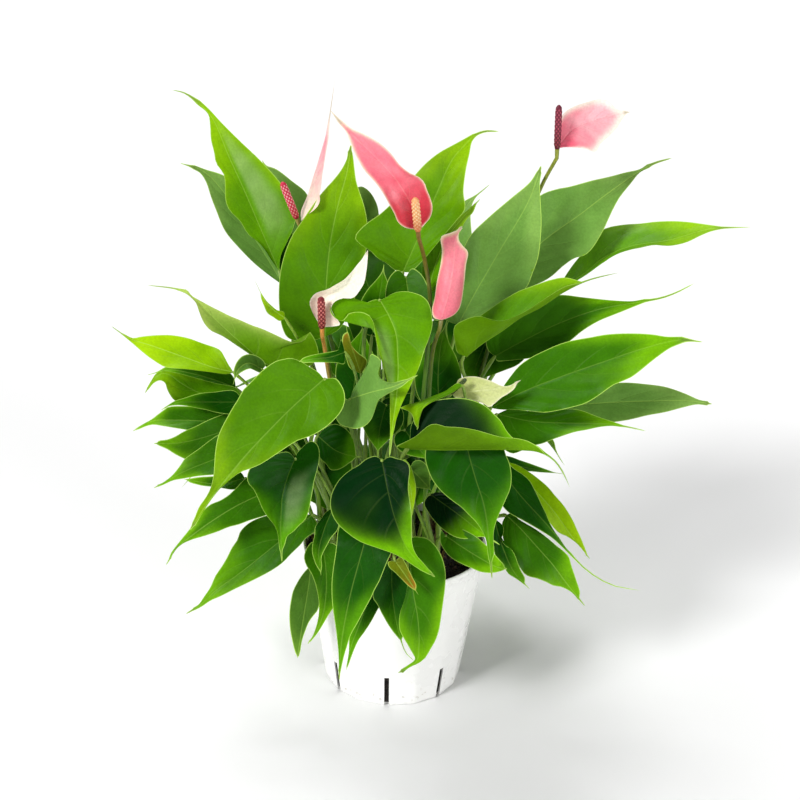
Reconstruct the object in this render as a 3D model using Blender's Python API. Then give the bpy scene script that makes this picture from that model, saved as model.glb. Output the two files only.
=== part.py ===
"""Potted pink lilli anthurium: slotted nursery pot, soil, leafy shoots and six flowers.

Each shoot is one solid: a short crown standing in a hole in the soil, with its leaf stalks and
blades. Each flower is a stem, a spathe (the coloured leaf) and a spadix (the spike).
Blades are placed by the pixels that their midribs cross in the photograph, and by how far
behind the pot's axis each point lies. Lengths are millimetres until the mesh is made.
World axes: +X right, +Y away from the camera, +Z up, origin under the middle of the pot.
"""
import bpy
import bmesh
import numpy as np

for old in list(bpy.data.objects):
    bpy.data.objects.remove(old, do_unlink=True)

# Camera fitted to the pot's rim, base and slots in the 800 pixel photograph.
FOCAL_PX = 1200.0
MIDDLE_PX = 400.0
PITCH = np.radians(21.4)
ROLL = np.radians(1.4)
FOOT_DISTANCE = 875.0
FOOT_PX = (391.9, 665.7)

# Five inch nursery pot.
POT_HEIGHT = 103.0
RIM_RADIUS = 63.5
BASE_RADIUS = 49.0
WALL = 1.3
FLOOR = 1.6
FLATS = 16
SLOTS = 8
SLOT_WIDTH = 3.3
SLOT_HEIGHT = 25.0
SLOT_PHASE = np.radians(-90.0 - 3.6)
POT_SEGMENTS = 48

SOIL_TOP = 99.0
SOIL_DOME = 1.5
GAP = 0.3
CROWN_RADIUS = 4.0
CROWN_SIDES = 6
STEM_SIDES = 6
HOLE_DEPTH = 14.0
BLADE_THICKNESS = 0.7
# A stalk is drawn out into its blade where their directions agree this well (a cosine). A
# sharper bend has a stalk of its own, which ends inside the blade.
STRAIGHT_ON = 0.42

# Blade outlines: share of the length along the midrib, half width as a share of the width.
OUTLINES = {
    "heart": [(0, 0), (-0.045, 0.16), (-0.035, 0.33), (0.07, 0.46), (0.24, 0.50),
              (0.42, 0.43), (0.60, 0.28), (0.76, 0.115), (0.86, 0.022), (1, 0)],
    "lance": [(0, 0), (-0.01, 0.10), (0.02, 0.21), (0.10, 0.35), (0.25, 0.47),
              (0.43, 0.49), (0.61, 0.36), (0.76, 0.17), (0.88, 0.04), (1, 0)],
    "delta": [(0, 0), (-0.045, 0.18), (-0.03, 0.37), (0.06, 0.49), (0.19, 0.49),
              (0.37, 0.37), (0.56, 0.24), (0.74, 0.10), (0.87, 0.022), (1, 0)],
    "spade": [(0, 0), (-0.05, 0.20), (-0.04, 0.40), (0.03, 0.50), (0.12, 0.45),
              (0.25, 0.33), (0.43, 0.21), (0.63, 0.10), (0.80, 0.022), (1, 0)],
    "spathe": [(0, 0), (-0.01, 0.16), (0.01, 0.31), (0.08, 0.44), (0.21, 0.50),
               (0.40, 0.43), (0.60, 0.29), (0.78, 0.13), (0.90, 0.04), (1, 0)],
}
# Where each outline point's vein leaves the midrib, as a share of the length.
VEIN_ROOTS = [0, 0.012, 0.035, 0.09, 0.22, 0.40, 0.58, 0.745, 0.86, 1]


def view_axes():
    """The camera's forward, right and up directions: pitched down, then rolled."""
    forward = np.array([0, np.cos(PITCH), -np.sin(PITCH)])
    right = np.array([1.0, 0, 0])
    up = np.cross(right, forward)
    return (forward, np.cos(ROLL) * right + np.sin(ROLL) * up,
            np.cos(ROLL) * up - np.sin(ROLL) * right)


FORWARD, RIGHT, UP = view_axes()


def sight_line(x, y):
    """Direction from the camera through pixel x, y."""
    return FORWARD + RIGHT * ((x - MIDDLE_PX) / FOCAL_PX) - UP * ((y - MIDDLE_PX) / FOCAL_PX)


EYE = -FOOT_DISTANCE * sight_line(*FOOT_PX)


def seen(x, y, back):
    """The point on the sight line through pixel x, y that lies `back` behind the pot's axis."""
    line = sight_line(x, y)
    return EYE + line * ((back - EYE[1]) / line[1])


def unit(v):
    return v / np.linalg.norm(v, axis=-1, keepdims=True)


def smooth(points, at):
    """Catmull-Rom through evenly spaced knots, read at shares from 0 to 1."""
    points = np.asarray(points, float)
    count = len(points) - 1
    ends = np.vstack([2 * points[0] - points[1], points, 2 * points[-1] - points[-2]])
    t = np.clip(np.asarray(at, float) * count, 0, count - 1e-9)
    i = t.astype(int)
    f = (t - i)[:, None]
    a, b, c, d = ends[i], ends[i + 1], ends[i + 2], ends[i + 3]
    return 0.5 * (2*b + (c - a)*f + (2*a - 5*b + 4*c - d)*f**2 + (3*b - 3*c + d - a)*f**3)


def curve(points, count):
    """Smooth line through the points (centripetal Catmull-Rom), at even arc lengths."""
    p = np.asarray(points, float)
    p = np.vstack([2 * p[0] - p[1], p, 2 * p[-1] - p[-2]])
    knots = np.concatenate([[0], np.cumsum(np.sqrt(np.linalg.norm(np.diff(p, axis=0), axis=1)))])
    pieces = []
    for i in range(1, len(p) - 2):
        t0, t1, t2, t3 = knots[i - 1:i + 3]
        t = np.linspace(t1, t2, 60)[:, None]
        a1 = (t1 - t) / (t1 - t0) * p[i - 1] + (t - t0) / (t1 - t0) * p[i]
        a2 = (t2 - t) / (t2 - t1) * p[i] + (t - t1) / (t2 - t1) * p[i + 1]
        a3 = (t3 - t) / (t3 - t2) * p[i + 1] + (t - t2) / (t3 - t2) * p[i + 2]
        b1 = (t2 - t) / (t2 - t0) * a1 + (t - t0) / (t2 - t0) * a2
        b2 = (t3 - t) / (t3 - t1) * a2 + (t - t1) / (t3 - t1) * a3
        piece = (t2 - t) / (t2 - t1) * b1 + (t - t1) / (t2 - t1) * b2
        pieces.append(piece if i == 1 else piece[1:])
    line = np.concatenate(pieces)
    run = np.concatenate([[0], np.cumsum(np.linalg.norm(np.diff(line, axis=0), axis=1))])
    even = np.linspace(0, run[-1], count)
    return np.stack([np.interp(even, run, line[:, k]) for k in range(3)], -1)


def leaf(points, width, turn=0, fold=(15, 5), shape="heart", skew=0, end=0.86, wave=0, via=()):
    """A leaf by its midrib in the photograph. turn: degrees that the upper face turns away from
    the camera. fold: degrees that each half rises, at the base and the tip. skew: how much wider
    the right half is. end: share of the midrib where the blade ends and its drip tip begins."""
    return dict(line=curve([seen(*p) for p in points], 200), facing=None, width=width, turn=turn,
                fold=fold, shape=shape, skew=skew, end=end, wave=wave, via=via)


def behind(azimuth, radius, height, length, width, droop=0.3, lift=0.12):
    """A leaf on the far side: its base at a radius and height, arching out and drooping."""
    a = np.radians(azimuth)
    out, up = np.array([np.cos(a), np.sin(a), 0]), np.array([0, 0, 1.0])
    base = radius * out + height * up
    points = [base, base + length * (0.34 * out + lift * up),
              base + length * (0.68 * out + (0.6 * lift - 0.25 * droop) * up),
              base + length * (0.93 * out - droop * up)]
    return dict(line=curve(points, 200), facing=up + 0.35 * out, width=width, turn=0,
                fold=(15, 5), shape="heart", skew=0, end=0.86, wave=0, via=())


def bloom(points, width, cup, spadix_tip, spadix_radius, offset, way, foot, turn=0, skew=0):
    """A flower: its spathe as a blade with curled sides (cup: degrees at the base and the tip),
    the spadix's tip, the pixels that the stem passes, and where it stands in the soil."""
    spathe = leaf(points, width, turn=turn, fold=(0, 0), shape="spathe", skew=skew)
    spathe["cup"] = cup
    return dict(spathe=spathe, spadix_tip=seen(*spadix_tip), spadix_radius=spadix_radius,
                offset=offset, way=[seen(*p) for p in way], foot=foot)


# Each shoot: where its crown stands on the soil, and the leaves that grow from it.
SHOOTS = {
    "shoot_01": ((-18, -45), [
        leaf([(366, 525, -80), (355, 585, -92), (343, 645, -100), (339, 680, -102)], 37),
        leaf([(376, 565, -72), (364, 610, -80), (352, 648, -86), (347, 669, -88)], 22),
        leaf([(333, 512, -64), (328, 535, -69), (321, 560, -72), (320, 576, -73)], 16),
        leaf([(326, 540, -50), (326, 585, -60), (318, 622, -68), (308, 643, -71)], 24),
    ]),
    "shoot_02": ((8, -47), [
        leaf([(405, 548, -84), (414, 585, -94), (420, 625, -102), (418, 652, -107), (398, 673, -110)],
             31, fold=(12, 5), shape="lance", skew=-0.1),
        leaf([(388, 562, -78), (396, 605, -86), (402, 646, -92), (418, 662, -96)], 24),
        leaf([(397, 566, -97), (404, 575, -101), (412, 587, -105), (418, 597, -107)], 10,
             via=[(9, -76, 150)]),
        leaf([(402, 464, -66), (411, 490, -70), (412, 512, -73), (411, 522, -74)], 14, turn=60,
             fold=(12, 8)),
    ]),
    "shoot_03": ((-6, -28), [
        leaf([(376, 463, -78), (384, 495, -88), (394, 525, -96), (412, 553, -103), (434, 577, -107)],
             46, fold=(12, 8), skew=0.25),
        leaf([(386, 405, -30), (380, 428, -35), (378, 448, -39), (378, 458, -41)], 28),
        leaf([(405, 430, -38), (415, 444, -42), (425, 456, -46), (431, 463, -48)], 22),
    ]),
    "shoot_04": ((-38, -32), [
        leaf([(292, 463, -48), (288, 500, -60), (284, 535, -70), (282, 562, -74)], 43,
             fold=(20, 12), skew=0.12),
        leaf([(308, 566, -42), (305, 600, -52), (302, 632, -58), (298, 657, -60)], 20, shape="lance"),
        leaf([(310, 515, -32), (268, 545, -42), (230, 575, -50), (204, 600, -54),
             (186, 613, -55)], 42, turn=-10, skew=0.2),
    ]),
    "shoot_05": ((-51, -10), [
        leaf([(274, 492, -34), (228, 513, -46), (190, 541, -54), (166, 563, -57)], 32, turn=-10,
             via=[(-56, -12, 150)]),
        leaf([(245, 478, -16), (220, 484, -18), (200, 482, -18), (184, 479, -18)], 12, turn=-20),
        leaf([(250, 446, -34), (213, 457, -40), (180, 474, -45), (154, 488, -48)], 30, turn=-20),
        leaf([(240, 430, -22), (205, 440, -26), (170, 446, -29), (154, 444, -30)], 28, turn=-20),
    ]),
    "shoot_06": ((-30, -12), [
        leaf([(325, 377, -50), (289, 408, -60), (232, 467, -76), (209, 498, -84), (190, 530, -88)], 52,
             fold=(12, 8), skew=0.05, via=[(-56, -37, 185)]),
        leaf([(347, 349, -36), (328, 354, -46), (310, 358, -54), (299, 361, -58)], 18, turn=-50,
             fold=(25, 5)),
        leaf([(243, 402, -18), (205, 400, -22), (178, 404, -26), (163, 408, -28)], 20, turn=-20),
        leaf([(318, 436, -18), (335, 450, -26), (352, 456, -32), (362, 457, -34)], 30),
    ]),
    "shoot_07": ((-48, 12), [
        leaf([(311, 358, 0), (262, 347, 0), (215, 320, 4), (187, 294, 8), (147, 285, 8)], 34, turn=-20,
             via=[(-56, 8, 190)]),
        leaf([(232, 368, -12), (200, 351, -8), (162, 346, -5), (137, 339, -4),
             (111, 327, -4)], 28, turn=-30),
        leaf([(262, 369, -24), (248, 363, -27), (238, 370, -31), (233, 385, -33)], 12, turn=-30,
             fold=(25, 5)),
        leaf([(243, 398, 0), (210, 388, -2), (180, 377, -6), (158, 376, -8),
             (147, 391, -9)], 32, turn=-20),
        leaf([(235, 422, -4), (195, 418, -6), (155, 422, -8), (134, 430, -9)], 24, turn=-20),
        leaf([(238, 388, 14), (200, 376, 14), (165, 370, 14), (148, 375, 14)], 22, turn=-20),
        behind(163, 60, 150, 112, 40),
    ]),
    "shoot_08": ((-36, 30), [
        leaf([(292, 325, 12), (274, 307, 12), (263, 294, 11), (255, 281, 10)], 11),
        leaf([(279, 271, 54), (260, 230, 64), (244, 192, 72), (229, 157, 79), (212, 120, 84),
             (172, 90, 88)], 38, turn=10, fold=(20, 10), shape="lance", skew=0.25, wave=0.02),
        leaf([(284, 286, 82), (262, 236, 96), (226, 188, 106), (203, 169, 110),
             (180, 163, 112)], 34, shape="lance", skew=-0.1),
        behind(150, 66, 186, 100, 40, droop=0.2, lift=0.15),
    ]),
    "shoot_09": ((-22, 8), [
        leaf([(325, 337, 26), (328, 250, 41), (349, 172, 58), (354, 142, 62)], 64, fold=(10, 5)),
        leaf([(361, 374, -22), (354, 354, -22), (348, 335, -23), (345, 318, -24)], 10),
        leaf([(372, 335, 8), (378, 305, 12), (382, 280, 15), (384, 264, 16)], 24, shape="lance"),
        leaf([(352, 400, 8), (356, 372, 12), (360, 345, 14), (364, 322, 14)], 28,
             fold=(12, 5), shape="lance"),
    ]),
    "shoot_10": ((-14, 38), [
        leaf([(304, 300, 98), (292, 240, 110), (280, 196, 118), (262, 160, 122)], 34, shape="lance"),
        leaf([(366, 290, 76), (364, 240, 84), (360, 205, 90), (352, 176, 94)], 30,
             fold=(10, 5), shape="lance"),
        behind(102, 54, 222, 126, 46, droop=0.25, lift=0.16),
        behind(122, 58, 206, 118, 44, droop=0.25, lift=0.16),
        behind(113, 46, 262, 112, 44, droop=0.1, lift=0.22),
    ]),
    "shoot_11": ((4, 14), [
        leaf([(401, 279, 20), (415, 238, 30), (432, 200, 40), (447, 172, 46), (462, 149, 50),
             (499, 131, 54)], 60, fold=(15, 10), skew=-0.1, end=0.82),
        leaf([(414, 300, 24), (440, 245, 32), (464, 213, 40), (480, 199, 44)], 36, turn=45,
             fold=(20, 10)),
        leaf([(406, 277, 8), (410, 310, -4), (408, 345, -14), (406, 365, -20)], 26),
        leaf([(440, 412, 4), (438, 380, 8), (441, 345, 12), (447, 320, 14)], 32,
             fold=(12, 5), shape="lance"),
    ]),
    "shoot_12": ((-6, -8), [
        leaf([(387, 299, -15), (394, 320, -24), (398, 350, -36), (397, 385, -52), (392, 425, -76),
             (390, 457, -90)], 56, fold=(12, 5), shape="spade"),
        leaf([(346, 398, -38), (372, 394, -52), (400, 383, -62), (417, 376, -66)], 46, turn=-10,
             fold=(25, 5), shape="delta"),
    ]),
    "shoot_13": ((24, 24), [
        leaf([(458, 325, 16), (474, 295, 24), (499, 252, 34), (529, 200, 48), (541, 166, 54)], 66,
             fold=(10, 5), skew=0.1, end=0.9),
        leaf([(500, 280, 62), (541, 243, 70), (600, 200, 80), (645, 167, 88), (672, 158, 92)], 58,
             fold=(8, 5), via=[(56, 42, 220)]),
        leaf([(548, 290, 84), (600, 249, 84), (655, 235, 76), (715, 229, 66), (752, 227, 60)], 40,
             turn=60, fold=(12, 5), shape="lance"),
        behind(58, 56, 220, 124, 46, droop=0.25, lift=0.16),
        behind(80, 56, 206, 128, 48, droop=0.25, lift=0.16),
        leaf([(446, 300, 90), (455, 245, 98), (466, 207, 106), (490, 184, 110)], 34, turn=20,
             fold=(10, 5)),
        behind(66, 46, 256, 114, 44, droop=0.1, lift=0.22),
    ]),
    "shoot_14": ((30, 2), [
        leaf([(462, 368, -8), (500, 335, -10), (545, 304, -4), (595, 278, 2), (620, 272, 5)], 54,
             turn=70, fold=(46, 30), via=[(50, 6, 200)]),
        leaf([(495, 356, 24), (540, 334, 18), (590, 318, 12), (645, 300, 6), (676, 296, 4),
             (695, 284, 3)], 48, skew=-0.28, end=0.7),
    ]),
    "shoot_15": ((50, 2), [
        leaf([(497, 407, -8), (535, 392, -12), (575, 375, -16), (620, 355, -20), (660, 345, -22),
             (703, 342, -22)], 48, fold=(12, 5), shape="lance"),
        leaf([(540, 404, 24), (600, 402, 20), (660, 398, 14), (712, 404, 10)], 34,
             fold=(12, 5), shape="lance"),
        leaf([(498, 424, 4), (560, 424, 0), (610, 424, -5), (646, 431, -8)], 38, turn=20,
             fold=(12, 5), end=0.9),
        leaf([(500, 460, 4), (520, 466, 4), (545, 471, 4), (564, 474, 4)], 14, turn=60, fold=(12, 5)),
    ]),
    "shoot_16": ((14, -22), [
        leaf([(409, 447, -66), (442, 448, -74), (490, 447, -82), (528, 447, -88), (550, 456, -91),
             (570, 488, -93)], 64, turn=(68, 66), fold=(50, 42), end=0.8),
        leaf([(465, 382, -30), (440, 396, -42), (422, 410, -54), (417, 430, -60)], 26, turn=(-60, -20),
             fold=(20, 10)),
    ]),
    "shoot_17": ((28, -40), [
        leaf([(468, 440, -62), (473, 465, -72), (481, 500, -80), (488, 545, -86), (492, 579, -89)], 51,
             fold=(12, 8)),
        leaf([(430, 494, -48), (455, 512, -60), (485, 535, -68), (500, 545, -71)], 42, fold=(12, 5)),
        leaf([(446, 536, -66), (470, 552, -74), (497, 567, -80), (507, 569, -82)], 32, fold=(12, 5)),
        leaf([(410, 468, -48), (420, 478, -52), (428, 487, -54), (433, 493, -56)], 18),
    ]),
    "shoot_18": ((45, -22), [
        leaf([(488, 520, -48), (506, 548, -56), (520, 575, -62), (529, 589, -65)], 26,
             fold=(12, 5), wave=0.05),
        leaf([(497, 520, -40), (532, 547, -48), (562, 578, -56), (585, 606, -58)], 34,
             fold=(12, 5), skew=0.1, end=0.9),
        leaf([(498, 470, -36), (520, 505, -44), (547, 540, -51), (572, 564, -55), (600, 583, -57),
             (641, 590, -58)], 34, fold=(12, 5), skew=0.15, end=0.7),
        leaf([(499, 460, -14), (534, 497, -22), (566, 531, -28), (590, 558, -30)], 25,
             fold=(12, 5), skew=0.1),
    ]),
    "shoot_19": ((4, 52), [
        behind(90, 62, 172, 122, 48),
        behind(102, 60, 120, 100, 40, droop=0.4),
        behind(76, 60, 122, 104, 40, droop=0.4),
    ]),
    "shoot_20": ((34, 37), [
        behind(38, 64, 150, 108, 40),
        behind(63, 62, 164, 118, 42),
        behind(50, 60, 118, 98, 38, droop=0.4),
    ]),
    "shoot_21": ((-28, 43), [
        behind(142, 58, 120, 100, 38, droop=0.4),
        behind(128, 74, 156, 112, 44),
    ]),
}

FLOWERS = {
    "flower_1": bloom([(417, 229, -30), (410, 202, -38), (398, 180, -38), (377, 157, -34),
         (356, 135, -28), (330, 110, -22)], 28, cup=(65, 15), spadix_tip=(414, 197, -48),
         spadix_radius=2.2, offset=2.6, way=[(426, 262, -10), (432, 300, -6)],
         foot=(12, -4)),
    "flower_2": bloom([(441, 320, -30), (449, 293, -26), (454, 262, -20), (455, 240, -17),
         (462, 226, -15)], 24, turn=180, cup=(85, 60), spadix_tip=(446, 290, -20),
         spadix_radius=2, offset=2.6, way=[(433, 350, -18), (429, 395, -14)],
         foot=(20, -12)),
    "flower_3": bloom([(323, 327, -20), (321, 306, -21), (331, 293, -20), (347, 283, -17),
         (360, 270, -14), (368, 250, -12)], 20, cup=(60, 40), spadix_tip=(320, 296, -28),
         spadix_radius=2.4, offset=3, way=[(324, 345, -14), (332, 390, -6)],
         foot=(-22, -6)),
    "flower_4": bloom([(301, 221, 53), (313, 188, 57), (325, 140, 63), (335, 79, 71)], 22,
         turn=(76, 80), cup=(20, 5), spadix_tip=(282, 183, 50), spadix_radius=2.5,
         offset=3.3, way=[(304, 245, 49), (320, 300, 34)], foot=(-22, 24)),
    "flower_5": bloom([(559, 149, 50), (584, 126, 54), (612, 115, 60), (630, 112, 62)], 30,
         cup=(35, 10), skew=-0.12, spadix_tip=(559, 107, 44), spadix_radius=2.3,
         offset=2.8, way=[(543, 183, 58), (532, 210, 58)], foot=(38, 20)),
    "flower_6": bloom([(451, 393, -14), (480, 391, -19), (508, 387, -23), (520, 382, -24)], 18,
         cup=(30, 10), skew=-0.1, spadix_tip=(465, 380, -23), spadix_radius=1.5,
         offset=3.3, way=[(447, 405, -12)], foot=(22, 2)),
}


def midrib_frames(spec):
    """Tangent, side and upper normal along the midrib. The normal faces the camera at one third
    of the length, is carried along without twist, and is then turned by the leaf's own turn."""
    line = spec["line"]
    tangent = unit(np.gradient(line, axis=0))
    k = len(line) // 3
    facing = unit(EYE - line[k]) if spec["facing"] is None else spec["facing"]
    normal = np.empty_like(line)
    normal[k] = unit(facing - (facing @ tangent[k]) * tangent[k])
    for order in (range(k + 1, len(line)), range(k - 1, -1, -1)):
        last = normal[k]
        for i in order:
            last = unit(last - (last @ tangent[i]) * tangent[i])
            normal[i] = last
    side = np.cross(tangent, normal)
    first, final = spec["turn"] if isinstance(spec["turn"], tuple) else (spec["turn"],) * 2
    a = np.radians(np.linspace(first, final, len(line)))[:, None]
    return tangent, side * np.cos(a) + normal * np.sin(a), normal * np.cos(a) - side * np.sin(a)


def blade_surface(spec, rows, across):
    """Grid of points on the blade's middle surface. Each row starts at its vein's root on the
    midrib and sweeps out to the outline; folding lifts a half in proportion to its distance
    from the midrib, cupping bends it along an arc, and the wave ripples its margin."""
    line, width = spec["line"], spec["width"]
    tangent, side, normal = midrib_frames(spec)
    length = np.linalg.norm(np.diff(line, axis=0), axis=1).sum()
    share = np.linspace(0, 1, rows + 1)
    outline = smooth(OUTLINES[spec["shape"]], share)
    root = smooth(np.array(VEIN_ROOTS)[:, None], share)[:, 0]
    reach = np.interp(outline[:, 0], [-1, 0, 0.86, 1], [-1, 0, spec["end"], 1])
    root = np.interp(root, [0, 0.86, 1], [0, spec["end"], 1])
    v = np.linspace(-1, 1, across + 1)
    along = root[:, None] + (reach - root)[:, None] * np.abs(v)**1.3
    half = np.maximum(outline[:, 1], 0)[:, None] * width * (1 + spec["skew"] * np.sign(v))
    sideways = half * v
    place = np.clip(along, 0, 1)

    def at(field):
        steps = np.arange(len(line))
        return np.stack([np.interp(place * (len(line) - 1), steps, field[:, k]) for k in range(3)], -1)

    t, s, n = unit(at(tangent)), unit(at(side)), unit(at(normal))
    centre = at(line) + t * (np.minimum(along, 0) * length)[..., None]
    fold = np.radians(spec["fold"][0] + (spec["fold"][1] - spec["fold"][0]) * place)
    far = np.abs(sideways)
    lift = np.sin(fold) * (np.sqrt(far**2 + (0.06 * width)**2) - 0.06 * width)
    cup = spec.get("cup", (0, 0))
    bend = np.radians(cup[0] + (cup[1] - cup[0]) * place) / (0.5 * width) + 1e-9
    arc = bend * far
    lift = lift + (1 - np.cos(arc)) / bend
    ripple = np.sin(6 * np.pi * along + np.where(v > 0, 0.9, 0)) * np.clip(2 * half / width, 0, 1)
    lift = lift + spec["wave"] * width * v**2 * ripple
    out = sideways * np.cos(fold) * np.sinc(arc / np.pi)
    return centre + s * out[..., None] + n * lift[..., None]


def blade_solid(grid, rings=None):
    """Closed blade: the grid's surface moved half a thickness each way along its normals, both
    faces split into triangles alike, with a rim between them. Base and tip are single points.
    With the four sided rings of a leaf stalk, the last ring takes the place of the base."""
    n, m = grid.shape[0] - 1, grid.shape[1]
    points = np.concatenate([grid[:1, 0], grid[1:-1].reshape(-1, 3), grid[-1:, 0]])
    last = len(points) - 1
    rows = [1 + i * m + np.arange(m) for i in range(n - 1)]
    faces = [(0, rows[0][j + 1], rows[0][j]) for j in range(m - 1)]
    for a, b in zip(rows, rows[1:]):
        for j in range(m - 1):
            if j < (m - 1) / 2:
                faces += [(a[j], a[j + 1], b[j + 1]), (a[j], b[j + 1], b[j])]
            else:
                faces += [(a[j], a[j + 1], b[j]), (a[j + 1], b[j + 1], b[j])]
    faces += [(rows[-1][j], rows[-1][j + 1], last) for j in range(m - 1)]
    faces = np.array(faces)
    flat = np.cross(points[faces[:, 1]] - points[faces[:, 0]], points[faces[:, 2]] - points[faces[:, 0]])
    normal = np.zeros_like(points)
    for k in range(3):
        np.add.at(normal, faces[:, k], flat)
    normal = unit(normal) * BLADE_THICKNESS / 2
    count = len(points)
    rim = [r[-1] for r in rows] + [last] + [r[0] for r in rows[::-1]]
    edge = [f for a, b in zip(rim, rim[1:])
            for f in ((a, a + count, b), (b, a + count, b + count))]
    solid = np.concatenate([points + normal, points - normal])
    right, left = rim[0], rim[-1]
    if rings is None:
        for a in (right, left):
            edge += [(0, count, a), (a, count, a + count)]
    else:
        start = len(solid)
        solid[0], solid[count] = rings[-1][3], rings[-1][1]
        solid = np.concatenate([solid, rings[:-1].reshape(-1, 3), rings[-1][[0, 2]]])
        loops = [start + 4 * i + np.arange(4) for i in range(len(rings) - 1)]
        loops.append(np.array([len(solid) - 2, count, len(solid) - 1, 0]))
        for a, corner in ((right, loops[-1][0]), (left, loops[-1][2])):
            edge += [(0, corner, a), (corner, a + count, a), (corner, count, a + count)]
        for a, b in zip(loops, loops[1:]):
            for j in range(4):
                k = (j + 1) % 4
                edge += [(a[j], a[k], b[j]), (a[k], b[k], b[j])]
        edge += [tuple(loops[0][:3]), tuple(loops[0][[0, 2, 3]])]
    return solid, np.concatenate([faces, faces[:, ::-1] + count, np.array(edge)])


def stalk_rings(line, radii, side):
    """Four sided rings along a leaf stalk. The last ring's first corner points to the blade's
    side, and the others are carried back from it without twist."""
    tangent = unit(np.gradient(line, axis=0))
    rings, across = [], side
    for point, t, radius in zip(line[::-1], tangent[::-1], radii[::-1]):
        across = unit(across - (across @ t) * t)
        down = np.cross(t, across)
        rings.append(point + radius * np.array([across, down, -across, -down]))
    return np.array(rings[::-1])


def tube(line, radii, sides):
    """Closed round bar: rings square to the line, each ring's start carried without twist."""
    tangent = unit(np.gradient(line, axis=0))
    across = unit(np.cross(tangent[0], [0, 1, 0.3]))
    rings = []
    for point, t, radius in zip(line, tangent, radii):
        across = unit(across - (across @ t) * t)
        a = np.linspace(0, 2 * np.pi, sides, endpoint=False)[:, None]
        rings.append(point + radius * (across * np.cos(a) + np.cross(t, across) * np.sin(a)))
    count = len(line)
    points = np.vstack(rings + [line[:1], line[-1:]])
    faces = []
    for i in range(count - 1):
        for j in range(sides):
            k = (j + 1) % sides
            a, b, c, d = i*sides + j, i*sides + k, (i + 1)*sides + j, (i + 1)*sides + k
            faces += [(a, b, c), (b, d, c)]
    for j in range(sides):
        k = (j + 1) % sides
        faces += [(count*sides, k, j), (count*sides + 1, (count - 1)*sides + j, (count - 1)*sides + k)]
    return points, np.array(faces)


def stalk_line(spec, crown, count):
    """The leaf stalk: up out of the crown, leaning towards the blade, and to its base."""
    tangent, _, normal = midrib_frames(spec)
    base, t = spec["line"][0], tangent[2]
    start = np.array([*crown, SOIL_TOP + 3.0])
    if len(spec["via"]):
        points = [start] + [np.array(p, float) for p in spec["via"]]
        before = base - 6 * unit(0.6 * unit(base - points[-1]) + 0.5 * t)
        return curve(points + [before, base], count)
    span = base - start
    reach = np.linalg.norm(span)
    lead = unit(np.array([0.35 * span[0], 0.35 * span[1], max(abs(span[2]), 60.0)]))
    arrive = unit(0.75 * unit(span) + 0.55 * t)
    a, b, c, d = start, start + 0.42 * reach * lead, base - 0.30 * reach * arrive, base
    s = np.linspace(0, 1, count)[:, None]
    return (1 - s)**3 * a + 3 * (1 - s)**2 * s * b + 3 * (1 - s) * s**2 * c + s**3 * d


def material(name, colour, roughness):
    found = bpy.data.materials.get(name)
    if found:
        return found
    mat = bpy.data.materials.new(name)
    mat.use_nodes = True
    shader = mat.node_tree.nodes["Principled BSDF"]
    shader.inputs["Base Color"].default_value = (*colour, 1)
    shader.inputs["Roughness"].default_value = roughness
    return mat


POT_WHITE = material("pot_plastic", (0.85, 0.85, 0.83), 0.35)
SOIL_BROWN = material("soil", (0.03, 0.022, 0.016), 0.95)
LEAF_GREEN = material("leaf", (0.06, 0.22, 0.02), 0.35)
STEM_GREEN = material("stem", (0.16, 0.20, 0.04), 0.5)
SPATHE_PINK = material("spathe_pink", (0.85, 0.30, 0.32), 0.45)
SPATHE_CREAM = material("spathe_cream", (0.85, 0.80, 0.66), 0.45)
SPATHE_GREEN = material("spathe_green", (0.62, 0.66, 0.34), 0.45)
SPADIX_YELLOW = material("spadix_yellow", (0.78, 0.62, 0.24), 0.6)
SPADIX_RED = material("spadix_red", (0.40, 0.05, 0.06), 0.6)
SPADIX_GREEN = material("spadix_green", (0.10, 0.16, 0.05), 0.6)
FLOWER_MATERIALS = {
    "flower_1": (SPATHE_PINK, SPADIX_YELLOW),
    "flower_2": (SPATHE_PINK, SPADIX_YELLOW),
    "flower_3": (SPATHE_CREAM, SPADIX_RED),
    "flower_4": (SPATHE_PINK, SPADIX_RED),
    "flower_5": (SPATHE_PINK, SPADIX_RED),
    "flower_6": (SPATHE_GREEN, SPADIX_GREEN),
}


def add_object(name, points, faces, mat, smooth_faces=True):
    """One object at the origin, in metres, facing out."""
    mesh = bpy.data.meshes.new(name)
    mesh.from_pydata((np.asarray(points) * 0.001).tolist(), [], [tuple(int(i) for i in f) for f in faces])
    work = bmesh.new()
    work.from_mesh(mesh)
    bmesh.ops.recalc_face_normals(work, faces=work.faces)
    work.to_mesh(mesh)
    work.free()
    mesh.materials.append(mat)
    for face in mesh.polygons:
        face.use_smooth = smooth_faces
    obj = bpy.data.objects.new(name, mesh)
    bpy.context.scene.collection.objects.link(obj)
    return obj


def boolean(target, pieces, operation, solver):
    """Applies one Boolean with a collection of pieces, and removes them."""
    group = bpy.data.collections.new("pieces")
    bpy.context.scene.collection.children.link(group)
    for piece in pieces:
        group.objects.link(piece)
    step = target.modifiers.new("boolean", "BOOLEAN")
    step.operand_type = "COLLECTION"
    step.collection = group
    step.operation = operation
    step.solver = solver
    bpy.context.view_layer.update()
    graph = bpy.context.evaluated_depsgraph_get()
    mesh = bpy.data.meshes.new_from_object(target.evaluated_get(graph))
    target.modifiers.clear()
    target.data = mesh
    for piece in pieces:
        bpy.data.objects.remove(piece, do_unlink=True)
    bpy.data.collections.remove(group)
    work = bmesh.new()
    work.from_mesh(mesh)
    bmesh.ops.dissolve_limit(work, angle_limit=np.radians(0.2), verts=work.verts, edges=work.edges)
    bmesh.ops.triangulate(work, faces=work.faces)
    keep_largest(work)
    work.to_mesh(mesh)
    work.free()


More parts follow.
